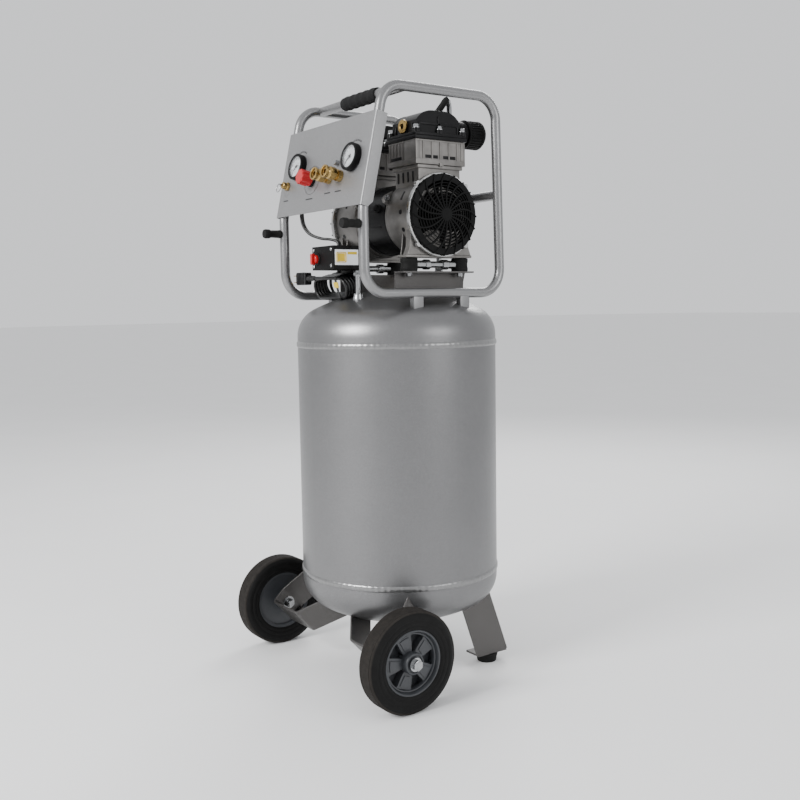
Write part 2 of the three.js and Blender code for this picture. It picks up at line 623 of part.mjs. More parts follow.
function panelGeometry() {
  const sheet = box(-PANEL_HALF, PANEL_HALF, -PANEL_LENGTH, 0, -PANEL_SHEET, 0);
  const flange = box(PANEL_HALF - PANEL_SHEET, PANEL_HALF, 2 - PANEL_LENGTH, -2, -PANEL_FLANGE, -1);
  const hole = (spot) => at(rod(HOLE_R, -10, 10, 14), spot);
  return cut(join(sheet, flange, mirrored(flange)), hole(GAUGES.right), hole(GAUGES.left), hole(KNOB),
    hole(COUPLERS.right), hole(COUPLERS.left), hole(SAFETY));
}

place('control_panel', panelGeometry(), SILVER, panel);

// Gauge case with its dial; the front is open for the needle and the window.
for (const [side, spot] of Object.entries(GAUGES)) {
  place(`gauge_${side}`, at(turned([
    [0, -26], [6, -26], [6, GAP], [24, GAP], [GAUGE_R, 3], [GAUGE_R, 13], [23.5, 13], [23.5, 8], [0, 8],
  ], 24), spot), BLACK, panel);
  const needle = join(rod(2.5, 8 + GAP, 10.5, 12), box(-0.8, 0.8, -18, 6, 9, 9.8)).rotateZ(-Math.PI / 4);
  place(`gauge_needle_${side}`, at(needle, spot), BLACK, panel);
}

// Regulator and outlet manifold behind the sheet, with the two coupler stems that pass through it.
const SLEEVE = [14, 37];
function manifoldGeometry() {
  const stem = (spot) => at(turned([[4.5, -22], [8.3, -22], [8.3, GAP], [11, GAP], [11, 9], [8, 9], [8, SLEEVE[1] - 3],
    [4.5, SLEEVE[1] - 3], [4.5, -22]], 14), spot);
  return join(
    at(rod(21, -44, -3, 20), KNOB),
    at(rod(8.3, -5, 4, 14), KNOB),
    box(KNOB.x + 10, COUPLERS.right.x + 12, -122, -102, -34, -20),
    stem(COUPLERS.left), stem(COUPLERS.right),
  );
}
place('regulator_manifold', manifoldGeometry(), BRASS, panel);

function knobGeometry() {
  const s = new THREE.Shape();
  const flutes = 16;
  for (let k = 0; k < 2 * flutes; k += 1) {
    const a = Math.PI * k / flutes;
    const r = k % 2 ? 13.6 : 14.8;
    if (k === 0) s.moveTo(r, 0);
    else s.lineTo(r * Math.cos(a), r * Math.sin(a));
  }
  return new THREE.ExtrudeGeometry(s, { depth: 25, bevelEnabled: false }).translate(0, 0, 5);
}
place('regulator_knob', at(knobGeometry(), KNOB), RED, panel);

for (const [side, spot] of Object.entries(COUPLERS)) {
  place(`coupler_sleeve_${side}`, at(turned([
    [8.6, SLEEVE[0]], [12, SLEEVE[0]], [12, 26], [10.5, 28], [10.5, 31], [12, 32],
    [12, SLEEVE[1]], [8.6, SLEEVE[1]], [8.6, SLEEVE[0]],
  ], 16), spot), BRASS, panel);
}

// Safety valve: the ring hangs on the stem and is pulled straight out to vent the tank.
place('safety_valve', at(turned([[0, -20], [6, -20], [6, GAP], [9, GAP], [9, 5], [7, 6], [7, 14], [2.6, 15],
  [2.6, 16], [0, 16]], 12), SAFETY), BRASS, panel);
place('safety_ring', join(
  new THREE.TorusGeometry(8, 1.1, 6, 14).translate(0, -8, 21),
  rod(1.8, 16 + GAP, 22, 10),
).translate(SAFETY.x, SAFETY.y, 0), STEEL, panel);

export default compressor;
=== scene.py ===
"""Portable twin-cylinder air compressor on an upright tank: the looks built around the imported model.

Lengths are millimetres in local spaces whose matrices carry the scale to metres.
"""
import math
import random

import bmesh
import bpy
from mathutils import Matrix, Vector


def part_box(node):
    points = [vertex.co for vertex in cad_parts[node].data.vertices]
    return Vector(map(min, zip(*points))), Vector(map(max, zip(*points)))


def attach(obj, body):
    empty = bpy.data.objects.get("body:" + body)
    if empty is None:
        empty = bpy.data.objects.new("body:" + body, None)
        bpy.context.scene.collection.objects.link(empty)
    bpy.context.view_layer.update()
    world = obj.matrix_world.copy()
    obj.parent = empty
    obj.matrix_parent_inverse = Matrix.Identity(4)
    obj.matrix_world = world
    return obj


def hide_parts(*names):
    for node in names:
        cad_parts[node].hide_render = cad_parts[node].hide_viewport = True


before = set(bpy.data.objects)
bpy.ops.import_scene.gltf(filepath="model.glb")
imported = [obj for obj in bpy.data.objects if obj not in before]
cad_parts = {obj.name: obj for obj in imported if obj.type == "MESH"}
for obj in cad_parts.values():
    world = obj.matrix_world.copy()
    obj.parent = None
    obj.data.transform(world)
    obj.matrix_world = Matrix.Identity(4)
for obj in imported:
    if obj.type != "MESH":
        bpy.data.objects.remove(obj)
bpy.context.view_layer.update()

# ---------- places taken from the frame ----------
MM = 0.001
move = Matrix.Translation
low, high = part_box("tank_shell")
TANK = move(((low[0] + high[0]) / 2, (low[1] + high[1]) / 2, 0)) @ Matrix.Scale(MM, 4)
PANEL_TOP = Vector((0, -145.2, 1080.3))
PANEL_LEAN = math.radians(12.6)
PANEL = TANK @ move(PANEL_TOP) @ Matrix.Rotation(math.pi / 2 - PANEL_LEAN, 4, "X")
PUMP = TANK @ move((0, 15, 902))
SIDES = {"right": 1, "left": -1}

TANK_R = 200
SEAMS = (200, 657)
LOOP_X = 148
TUBE_R = 9.5
WHEEL = Vector((0, -154, 95))
WHEEL_MID = 241.5   # middle of a wheel's width, out from the tank's axis
RAIL_Y, RAIL_Z = -77, 1130   # the handle's cross tube
HEAD_X = 90         # middle of a cylinder, out from the pump's middle
BORE = 33           # a shade wider than the piston's crown
PORT_Z = 163.3      # where the pipes enter the heads

# Places on the panel, measured from the middle of its top edge.
GAUGES = {"right": (108, -82), "left": (-92, -77)}
COUPLERS = {"right": (71, -112), "left": (33, -112)}
REGULATOR = (-34, -108)
RELIEF = (-129, -111)

# Turns that many pieces share: what a piece's own axes become.
TO_X = Matrix.Rotation(math.pi / 2, 4, "Y")   # height points along X
FORWARD = Matrix.Diagonal((1, -1, 1, 1))   # a shape turned about Y points to the front
FACING = Matrix(((1, 0, 0, 0), (0, 0, -1, 0), (0, 1, 0, 0), (0, 0, 0, 1)))   # outline in X and Z
END_ON = Matrix(((0, 0, 1, 0), (1, 0, 0, 0), (0, 1, 0, 0), (0, 0, 0, 1)))   # outline in Y and Z


def mirrored(space, side):
    """The same space, flipped left to right for the left-hand copy."""
    return space @ Matrix.Diagonal((side, 1, 1, 1))


# ---------- camera, first because the cord is judged from it ----------
def add_camera():
    yaw, pitch, roll = math.radians(55.40), math.radians(5.57), math.radians(-0.93)
    ahead = Vector((-math.sin(yaw) * math.cos(pitch), math.cos(yaw) * math.cos(pitch), -math.sin(pitch)))
    level = Vector((math.cos(yaw), math.sin(yaw), 0))
    above = level.cross(ahead)
    right = level * math.cos(roll) + above * math.sin(roll)
    up = above * math.cos(roll) - level * math.sin(roll)
    data = bpy.data.cameras.new("camera")
    data.sensor_width = 36
    data.lens = 44.83
    data.shift_x = 0.0065
    data.clip_end = 50
    camera = bpy.data.objects.new("camera", data)
    turn = Matrix((right, up, -ahead)).transposed().to_4x4()
    camera.matrix_world = move(TANK @ Vector((1664.8, -1155.0, 736.7))) @ turn
    bpy.context.collection.objects.link(camera)
    bpy.context.scene.camera = camera


add_camera()


# ---------- materials ----------
def material(name, color, rough, metal=0.0, mottle=0.06, mottle_scale=30, grain=0.1, grain_scale=900,
             bump=0.1, flakes=0.0, coat=0.0, stretch=(1, 1, 1), specular=0.5):
    """Noise varies the colour slowly and the roughness and height finely; flakes adds bright specks."""
    mat = bpy.data.materials.new(name)
    mat.use_nodes = True
    nodes, links = mat.node_tree.nodes, mat.node_tree.links
    shader = nodes["Principled BSDF"]
    shader.inputs["Metallic"].default_value = metal
    shader.inputs["Coat Weight"].default_value = coat
    shader.inputs["Coat Roughness"].default_value = 0.12
    shader.inputs["Specular IOR Level"].default_value = specular
    where = nodes.new("ShaderNodeTexCoord")
    shape = nodes.new("ShaderNodeMapping")
    shape.inputs["Scale"].default_value = stretch
    links.new(where.outputs["Object"], shape.inputs["Vector"])

    def noise(scale, detail):
        node = nodes.new("ShaderNodeTexNoise")
        node.inputs["Scale"].default_value = scale
        node.inputs["Detail"].default_value = detail
        links.new(shape.outputs["Vector"], node.inputs["Vector"])
        return node.outputs["Fac"]

    slow, fine = noise(mottle_scale, 3), noise(grain_scale, 2)
    tint = nodes.new("ShaderNodeValToRGB")
    tint.color_ramp.elements[0].position = 0.3
    tint.color_ramp.elements[1].position = 0.7
    tint.color_ramp.elements[0].color = (*[c * (1 - mottle) for c in color], 1)
    tint.color_ramp.elements[1].color = (*[min(1, c * (1 + mottle)) for c in color], 1)
    links.new(slow, tint.inputs["Fac"])
    shade = tint.outputs["Color"]
    if flakes:
        spark = nodes.new("ShaderNodeMapRange")
        spark.inputs["From Min"].default_value = 0.5
        spark.inputs["From Max"].default_value = 0.75
        spark.inputs["To Max"].default_value = flakes
        links.new(noise(grain_scale * 1.7, 0), spark.inputs["Value"])
        mix = nodes.new("ShaderNodeMix")
        mix.data_type = "RGBA"
        mix.inputs["B"].default_value = (0.95, 0.95, 0.96, 1)
        links.new(spark.outputs["Result"], mix.inputs["Factor"])
        links.new(shade, mix.inputs["A"])
        shade = mix.outputs["Result"]
    links.new(shade, shader.inputs["Base Color"])
    gloss = nodes.new("ShaderNodeMapRange")
    gloss.inputs["To Min"].default_value = max(0.02, rough - grain)
    gloss.inputs["To Max"].default_value = min(1, rough + grain)
    links.new(fine, gloss.inputs["Value"])
    links.new(gloss.outputs["Result"], shader.inputs["Roughness"])
    if bump:
        relief = nodes.new("ShaderNodeBump")
        relief.inputs["Strength"].default_value = bump
        relief.inputs["Distance"].default_value = 0.0006
        links.new(fine, relief.inputs["Height"])
        links.new(relief.outputs["Normal"], shader.inputs["Normal"])
    return mat


def glass_material():
    mat = bpy.data.materials.new("lens_glass")
    mat.use_nodes = True
    shader = mat.node_tree.nodes["Principled BSDF"]
    shader.inputs["Base Color"].default_value = (1, 1, 1, 1)
    shader.inputs["Roughness"].default_value = 0.03
    shader.inputs["Transmission Weight"].default_value = 1.0
    shader.inputs["IOR"].default_value = 1.45
    return mat


SILVER = material("silver_enamel", (0.150, 0.150, 0.152), 0.36, 0.82, 0.04, 9, 0.07, 1500, 0.10, flakes=0.22)
PANEL_SILVER = material("panel_enamel", (0.19, 0.19, 0.192), 0.42, 0.6, 0.03, 12, 0.08, 1500, 0.10,
                        flakes=0.22)
TUBE_SILVER = material("tube_enamel", (0.20, 0.20, 0.202), 0.32, 0.82, 0.04, 12, 0.07, 1500, 0.08,
                       flakes=0.25)
BRACKET_SILVER = material("bracket_enamel", (0.066, 0.062, 0.059), 0.38, 0.75, 0.06, 18, 0.08, 1300, 0.10,
                          flakes=0.15)
WELD = material("weld_silver", (0.23, 0.23, 0.23), 0.30, 0.85, 0.10, 160, 0.08, 500, 0.15)
CAST = material("cast_aluminium", (0.175, 0.168, 0.160), 0.42, 0.8, 0.14, 60, 0.14, 700, 0.35)
MACHINED = material("machined_rim", (0.46, 0.46, 0.455), 0.26, 0.95, 0.06, 90, 0.1, 900, 0.12)
BLACK = material("black_plastic", (0.003, 0.003, 0.003), 0.5, 0, 0.2, 60, 0.12, 1100, 0.25, specular=0.12)
ENAMEL = material("black_enamel", (0.005, 0.005, 0.0055), 0.32, 0, 0.2, 40, 0.1, 900, 0.2, specular=0.16)
RUBBER = material("rubber", (0.008, 0.008, 0.0078), 0.68, 0, 0.2, 80, 0.12, 700, 0.3, specular=0.15)
FOAM = material("foam", (0.007, 0.007, 0.0073), 0.85, 0, 0.25, 300, 0.1, 1400, 0.9, specular=0.25)
TYRE = material("tyre_wall", (0.004, 0.0039, 0.0038), 0.58, 0, 0.25, 70, 0.12, 500, 0.3, specular=0.15)
TREAD = material("tyre_tread", (0.017, 0.0145, 0.0125), 0.80, 0, 0.25, 110, 0.1, 600, 0.5, specular=0.25)
HUB = material("hub_plastic", (0.034, 0.0365, 0.041), 0.40, 0, 0.08, 50, 0.1, 800, 0.2)
BRASS = material("brass", (0.42, 0.285, 0.105), 0.27, 1.0, 0.14, 130, 0.12, 800, 0.15)
STEEL = material("zinc_steel", (0.36, 0.365, 0.37), 0.24, 1.0, 0.10, 140, 0.1, 800, 0.12)
RED = material("red_plastic", (0.42, 0.002, 0.005), 0.36, 0, 0.08, 60, 0.1, 800, 0.12, coat=0.2)
WHITE = material("dial_white", (0.80, 0.82, 0.84), 0.45, 0, 0.02, 60, 0.05, 900, 0.03)
INK = material("print_ink", (0.012, 0.012, 0.013), 0.55, 0, 0.15, 500, 0.1, 900, 0.05)
YELLOW = material("yellow_tag", (0.60, 0.42, 0.012), 0.5, 0, 0.12, 90, 0.1, 700, 0.15)
CORD = material("cord_jacket", (0.005, 0.005, 0.0052), 0.36, 0, 0.2, 90, 0.12, 900, 0.25, specular=0.4)
FLOOR = material("floor_paper", (0.86, 0.86, 0.86), 0.7, 0, 0.01, 3, 0.05, 200, 0.02)
GLASS = glass_material()


# ---------- mesh building ----------
def arc(cx, cy, r, start, end, steps):
    """Points of an arc in a plane, angles in degrees."""
    turns = [math.radians(start + (end - start) * k / steps) for k in range(steps + 1)]
    return [(cx + r * math.cos(a), cy + r * math.sin(a)) for a in turns]


def rounded(x0, x1, y0, y1, r, steps=5):
    """Outline of a rectangle with round corners."""
    return (arc(x1 - r, y1 - r, r, 0, 90, steps) + arc(x0 + r, y1 - r, r, 90, 180, steps)
            + arc(x0 + r, y0 + r, r, 180, 270, steps) + arc(x1 - r, y0 + r, r, 270, 360, steps))


def bent(corners, radii, steps=8):
    """A line through corners, each rounded to its own radius."""
    points = [Vector(corners[0])]
    for before, corner, after, radius in zip(corners, corners[1:], corners[2:], radii):
        b = Vector(corner)
        back = (Vector(before) - b).normalized()
        ahead = (Vector(after) - b).normalized()
        half = back.angle(ahead) / 2
        centre = b + (back + ahead).normalized() * (radius / math.sin(half))
        start = b + back * (radius / math.tan(half))
        normal = back.cross(ahead).normalized()
        for k in range(steps + 1):
            turn = Matrix.Rotation(-(math.pi - 2 * half) * k / steps, 3, normal)
            points.append(centre + turn @ (start - centre))
    points.append(Vector(corners[-1]))
    return points


def smooth_path(knots, steps=6):
    """Catmull-Rom curve through given knots."""
    k = [Vector(p) for p in knots]
    k = [2 * k[0] - k[1], *k, 2 * k[-1] - k[-2]]
    points = []
    for a, b, c, d in zip(k, k[1:], k[2:], k[3:]):
        for i in range(steps):
            t = i / steps
            points.append(0.5 * (2 * b + (c - a) * t + (2 * a - 5 * b + 4 * c - d) * t * t
                                 + (3 * b - a - 3 * c + d) * t ** 3))
    points.append(k[-2])
    return points


class Piece:
    """Gathers geometry in a local space, then becomes one named object that rides on a body."""

    def __init__(self, name, space=TANK):
        self.name = name
        self.space = space
        self.bm = bmesh.new()

    def add(self, points, faces, at=None):
        at = at or Matrix()
        made = [self.bm.verts.new(at @ Vector(p)) for p in points]
        return [self.bm.faces.new([made[i] for i in f]) for f in faces]

    def box(self, x0, x1, y0, y1, z0, z1, bevel=0.0, at=None):
        corners = [(x, y, z) for x in (x0, x1) for y in (y0, y1) for z in (z0, z1)]
        faces = self.add(corners, [(0, 1, 3, 2), (4, 6, 7, 5), (0, 4, 5, 1), (2, 3, 7, 6), (0, 2, 6, 4),
                                   (1, 5, 7, 3)], at)
        if bevel:
            edges = list(dict.fromkeys(e for f in faces for e in f.edges))
            bmesh.ops.bevel(self.bm, geom=edges, offset=bevel, segments=2, affect="EDGES", profile=0.7)

    def lathe(self, profile, segments=48, axis="z", at=None):
        """Turns (radius, height) pairs about an axis; a radius of 0 is a point on it."""
        at = at or Matrix()
        if axis == "x":
            at = at @ TO_X
        if axis == "y":
            at = at @ Matrix.Rotation(-math.pi / 2, 4, "X")
        points, rings = [], []
        for r, h in profile:
            count = 1 if r < 1e-6 else segments
            rings.append([len(points) + i for i in range(count)])
            for i in range(count):
                a = 2 * math.pi * i / segments
                points.append((r * math.cos(a), r * math.sin(a), h))
        faces = []
        for one, two in zip(rings, rings[1:]):
            for i in range(segments):
                j = (i + 1) % segments
                face = [one[i % len(one)], one[j % len(one)], two[j % len(two)], two[i % len(two)]]
                face = list(dict.fromkeys(face))
                if len(face) > 2:
                    faces.append(face)
        self.add(points, faces, at)

    def prism(self, outline, z0, z1, at=None):
        """A flat outline thickened between two heights."""
        n = len(outline)
        points = [(x, y, z) for z in (z0, z1) for x, y in outline]
        sides = [(i, (i + 1) % n, n + (i + 1) % n, n + i) for i in range(n)]
        self.add(points, [tuple(reversed(range(n))), tuple(range(n, 2 * n)), *sides], at)

    def sweep(self, section, path, closed=False, at=None, side=None, up=None, flat=False):
        """Carries a closed flat section along a path; the section's x follows side, or its y follows up."""
        path = [Vector(p) for p in path]
        n, m = len(path), len(section)
        last = Vector(side) if side else None
        points = []
        for i, spot in enumerate(path):
            before = path[i - 1] if i or closed else path[i]
            after = path[(i + 1) % n] if i < n - 1 or closed else path[i]
            along = (after - before).normalized()
            if flat:
                across = Vector(side)
                last = across.cross(along).normalized()
                points.extend(spot + last * x + across * y for x, y in section)
                continue
            if up:
                last = Vector(up).cross(along)
            last = last or along.orthogonal()
            last = (last - along * last.dot(along)).normalized()
            other = along.cross(last)
            points.extend(spot + last * x + other * y for x, y in section)
        rings = range(n if closed else n - 1)
        faces = [(i * m + j, i * m + (j + 1) % m, (i + 1) % n * m + (j + 1) % m, (i + 1) % n * m + j)
                 for i in rings for j in range(m)]
        if not closed:
            faces += [tuple(reversed(range(m))), tuple(range((n - 1) * m, n * m))]
        self.add(points, faces, at)

    def tube(self, path, radius, sides=20, closed=False, at=None):
        self.sweep(arc(0, 0, radius, 0, 360, sides)[:-1], path, closed, at)

    def bolt(self, across, height, at):
        """Hexagon head with a chamfered crown on a washer, standing along +Z of its place."""
        r = across / math.sqrt(3)
        self.lathe([(0, 0), (across * 0.72, 0), (across * 0.72, 0.9), (0, 0.9)], 20, at=at)
        self.lathe([(0, 0.9), (r, 0.9), (r, height - 0.8), (r * 0.86, height), (0, height)], 6, at=at)

    def done(self, mat, body="chassis", replaces=(), smooth=35, bevel=0.0):
        self.bm.transform(self.space)
        bmesh.ops.recalc_face_normals(self.bm, faces=self.bm.faces)
        mesh = bpy.data.meshes.new(self.name)
        self.bm.to_mesh(mesh)
        self.bm.free()
        mesh.shade_smooth()
        mesh.set_sharp_from_angle(angle=math.radians(smooth))
        obj = bpy.data.objects.new(self.name, mesh)
        bpy.context.collection.objects.link(obj)
        mesh.materials.append(mat)
        if bevel:
            mod = obj.modifiers.new("edge", "BEVEL")
            mod.width = bevel * MM
            mod.segments = 2
            mod.limit_method = "ANGLE"
            mod.angle_limit = math.radians(40)
            mod.harden_normals = True
        if body:
            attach(obj, body)
        if replaces:
            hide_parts(*replaces)
        return obj


def carve(obj, cutter, overlapping=False):
    """Cuts one finished object by another, then drops the cutter."""
    mod = obj.modifiers.new("carve", "BOOLEAN")
    mod.object = cutter
    mod.solver = "EXACT"
    mod.use_self = overlapping
    depsgraph = bpy.context.evaluated_depsgraph_get()
    obj.data = bpy.data.meshes.new_from_object(obj.evaluated_get(depsgraph))
    obj.modifiers.clear()
    bpy.data.objects.remove(cutter)
    obj.data.shade_smooth()
    obj.data.set_sharp_from_angle(angle=math.radians(35))


# ---------- power cord: wound into a hank that lies on the dome ----------
CORD_R = 3.15
HANK = TANK @ move((-43, -112, 771.6)) @ Matrix.Rotation(math.radians(15), 4, "X")
HANK_IN_TANK = TANK.inverted() @ HANK
FOLD_R = 19.35
RUN = 85
TURNS = 6
GLAND = Vector((-41, -99, 815.5))
GLAND_TIP = Vector((-66, -93, 801.5))
PLUG = Vector((-92, -149, 788))


def racetrack(along):
    """Point of the wound part after a run of that length from its upper left corner."""
    fold = math.pi * FOLD_R
    lap = 2 * RUN + 2 * fold
    whole = TURNS * lap - RUN
    if along < fold:
        y = 26 - 8 * (along / fold) ** 1.5
    else:
        y = 18 - 36 * (along - fold) / (whole - fold)
    s = along % lap
    if s < fold:
        a = s / FOLD_R
        x, z = -RUN / 2 - FOLD_R * math.sin(a), FOLD_R * math.cos(a)
    elif s < fold + RUN:
        x, z = -RUN / 2 + s - fold, -FOLD_R
    elif s < 2 * fold + RUN:
        a = (s - fold - RUN) / FOLD_R
        x, z = RUN / 2 + FOLD_R * math.sin(a), -FOLD_R * math.cos(a)
    else:
        x, z = RUN / 2 - (s - 2 * fold - RUN), FOLD_R
    return HANK_IN_TANK @ Vector((x, y, z))


def cord_path():
    """From the strain relief, round all the turns of the hank, to the plug's boot."""
    whole = TURNS * (2 * RUN + 2 * math.pi * FOLD_R) - RUN
    steps = 52 * TURNS
    lead_in = smooth_path([GLAND_TIP - (GLAND_TIP - GLAND) * 0.15, GLAND_TIP, (-72, -92.3, 799.1),
                           (-78.5, -92.0, 797.5), racetrack(0)], 3)[:-1]
    wound = [racetrack(whole * k / steps) for k in range(steps)]
    tail = smooth_path([racetrack(whole), (-12, -135.3, 785.9), (-26, -138.6, 786.5), (-40, -143.3, 787.2),
                        (-52, -147.4, 787.8), (-64, -149, 788), (-70, -149, 788)], 3)
    return lead_in + wound + tail


def add_plug():
    plug = Piece("power_plug_body")
    outline = rounded(PLUG.x - 38, PLUG.x, PLUG.z - 12.6, PLUG.z + 12.6, 5)
    plug.prism(outline, -7.4, 7.4, move((0, PLUG.y, 0)) @ Matrix.Rotation(math.pi / 2, 4, "X")
               @ Matrix.Scale(-1, 4, (0, 0, 1)))
    for k in range(5):
        x = PLUG.x - 9 - 5 * k
        plug.box(x - 1.2, x + 1.2, PLUG.y - 8.8, PLUG.y + 8.8, PLUG.z - 11, PLUG.z + 11, 0.8)
    boot = [(0, -1), (6.4, -1), (6.4, 2)]
    for k in range(6):
        r = 6.3 - 0.36 * k
        boot += [(r, 3 + 4 * k), (r, 5.4 + 4 * k), (r - 1.1, 5.8 + 4 * k), (r - 1.1, 6.6 + 4 * k)]
    boot += [(4.0, 27.6), (0, 27.6)]
    plug.lathe(boot, 24, "x", move(PLUG))
    body = plug.done(CORD, replaces=("power_plug",), bevel=0.9)
    prongs = Piece("power_plug_prongs")
    for side in (-1, 1):
        prongs.box(PLUG.x - 54.8, PLUG.x - 37, PLUG.y - 3.1, PLUG.y + 3.1, PLUG.z + side * 6.4 - 0.8,
                   PLUG.z + side * 6.4 + 0.8, 0.3)
    return [body, prongs.done(BRASS)]


def add_tie():
    tie = Piece("cord_tie", HANK)
    wrap = [(36, y, z) for y, z in rounded(-22.0, 22.0, -23.4, 23.4, 5, 6)]
    flat = [(-0.5, -3.5), (0.5, -3.5), (0.5, 3.5), (-0.5, 3.5)]
    tie.sweep(flat, wrap, closed=True, side=(0, 0, 1))
    band = tie.done(CORD)
    tag = Piece("cord_tag", HANK)
    tag.box(28, 44, -23.4, -22.4, 2, 13, 0.4)
    return [band, tag.done(YELLOW)]


def add_strain_relief():
    gland = Piece("cord_strain_relief")
    run = GLAND_TIP - GLAND
    aim = move(GLAND) @ run.to_track_quat("Z", "Y").to_matrix().to_4x4()
    profile = [(0, -4), (6.5, -4), (6.5, 2.5)]
    for k in range(5):
        r = 6.0 - 0.42 * k
        profile += [(r, 4 + 5 * k), (r, 6.6 + 5 * k), (r - 0.9, 7.2 + 5 * k), (r - 0.9, 8.2 + 5 * k)]
    profile += [(3.9, run.length), (3.3, run.length), (0, run.length - 1)]
    gland.lathe(profile, 24, "z", aim)
    gland.done(CORD)


def add_cord():
    path = cord_path()
    cord = Piece("power_cord_line")
    cord.tube(path, CORD_R, 12)
    obj = cord.done(CORD, replaces=("power_cord", "cord_hank"), smooth=60)
    carried = add_plug() + add_tie()
    add_strain_relief()


add_cord()


# ---------- tank ----------
def head():
    """Outer line of a domed head from its seam to its crown, as radius and height above the seam."""
    crown, knuckle, skirt = 375, 60, 15
    hub = TANK_R - knuckle
    drop = math.sqrt((crown - knuckle) ** 2 - hub ** 2)
    turn = math.degrees(math.atan2(drop, hub))
    line = [(TANK_R, 0)] + arc(hub, skirt, knuckle, 0, turn, 14)
    line += arc(0, skirt - drop, crown, turn, 90, 24)[1:-1] + [(0, skirt - drop + crown)]
    return line


def add_tank():
    shell = Piece("tank_skin")
    lower = [(r, SEAMS[0] - h) for r, h in head()]
    upper = [(r, SEAMS[1] + h) for r, h in head()]
    height = SEAMS[1] - SEAMS[0]
    wall = [(TANK_R, SEAMS[0] + height * k / 8) for k in range(1, 8)]
    shell.lathe(lower[::-1] + wall + upper, 144)
    shell.done(SILVER, replaces=("tank_shell",), smooth=50)

    rng = random.Random(4)
    for index, z in enumerate(SEAMS):
        bead = Piece(f"weld_seam_{index + 1}")
        count = 420
        points, faces = [], []
        shape = [(-6.2, -0.3), (-5, 0.9), (-2.6, 1.7), (0, 1.9), (2.6, 1.7), (5, 0.9), (6.2, -0.3)]
        for i in range(count):
            a = 2 * math.pi * i / count
            ripple = 0.28 * math.sin(i * math.pi / 2) + rng.uniform(-0.08, 0.08)
            for up, out in shape:
                r = TANK_R + out + (ripple if out > 0 else 0)
                points.append((r * math.cos(a), r * math.sin(a), z + up))
        for i in range(count):
            j = (i + 1) % count
            faces += [(i * 7 + k, j * 7 + k, j * 7 + (k + 1) % 7, i * 7 + (k + 1) % 7) for k in range(7)]
        bead.add(points, faces)
        bead.done(WELD, smooth=80)


def add_loops():
    lean_z, top_front = 912.6, -121.9
    for side, s in SIDES.items():
        x = s * LOOP_X
        corners = [(x, 149, 754), (x, -170.5, 754), (x, -170.5, lean_z), (x, top_front, 1130), (x, 139, 1130)]
        ring = bent([corners[-1], *corners, corners[0]], (46, 46, 120, 46, 46), 12)[1:-1]
        loop = Piece(f"frame_tube_{side}")
        loop.tube(ring, TUBE_R, 28, closed=True)
        if side == "left":
            loop.tube([(-LOOP_X + 4, 144, 944), (LOOP_X - 4, 144, 944)], TUBE_R, 28)
        loop.done(TUBE_SILVER, replaces=(f"frame_loop_{side}",), smooth=40)
        posts = Piece(f"saddle_{side}")
        for y in (-55, 55):
            posts.box(x - 7, x + 7, y - 11, y + 11, 722, 749, 1.5)
        posts.done(TUBE_SILVER)
        peg = Piece(f"hose_hook_{side}")
        line = [(0, 0), (8.2, 0), (8.4, 3), (7.8, 4.4), (7.5, 22), (8.6, 24.5), (9.3, 26), (9.4, 34),
                (8.4, 36.6), (0, 37)]
        peg.lathe([(r, -h) for r, h in line], 32, "y", move((x, -180.3, 879)))
        peg.done(RUBBER, replaces=(f"hose_peg_{side}",), smooth=40)
    rail = Piece("handle_tube")
    middle = move((0, RAIL_Y, RAIL_Z))
    rail.lathe([(0, -143), (TUBE_R, -143), (TUBE_R, 143), (0, 143)], 28, "x", middle)
    rail.done(TUBE_SILVER, replaces=("handle_bar",))
    grip = Piece("grip_sleeve")
    line = [(0, -54), (11.6, -54), (12.8, -53)]
    for k in range(61):
        t = k / 60
        bump = 0.6 - 0.6 * math.cos(2 * math.pi * 5 * t)
        line.append((12.6 + bump, -51 + 112 * t))
    line += [(12.8, 62.8), (11.6, 64), (0, 64)]
    grip.lathe(line, 40, "x", middle)
    grip.done(FOAM, replaces=("foam_grip",), smooth=45)


# ---------- wheels ----------
def add_tyre(side, place):
    body, mid = f"wheel_{side}", WHEEL_MID
    wall = Piece(f"tyre_wall_{side}", place)
    half = [(60.6, 18.2), (64, 20.2), (67, 20.9), (67.8, 20.4), (69, 20.4), (69.8, 21.2), (76, 21.5),
            (76.8, 20.9), (78, 20.9), (78.8, 21.4), (84, 20.8), (86.5, 20.2), (87.2, 19.4), (89.5, 18.9),
            (90.6, 17.4)]
    loop = [(r, mid + w) for r, w in half] + [(r, mid - w) for r, w in reversed(half)]
    wall.lathe(loop + loop[:1], 96, "x")
    wall.done(TYRE, body, (f"tyre_{side}",), 50)
    tread = Piece(f"tyre_tread_{side}", place)
    line = [(90, mid - 17.8), (92.2, mid - 17.4), (94.2, mid - 15.4)]
    for k in range(9):
        x = mid - 13.2 + 3.3 * k
        line += [(94.9, x - 1.1), (94.9, x + 1.1), (93.7, x + 1.45), (93.7, x + 1.85)]
    line += [(94.2, mid + 15.6), (92.2, mid + 17.4), (90, mid + 17.8)]
    tread.lathe(line + line[:1], 96, "x")
    tread.done(TREAD, body, smooth=30)


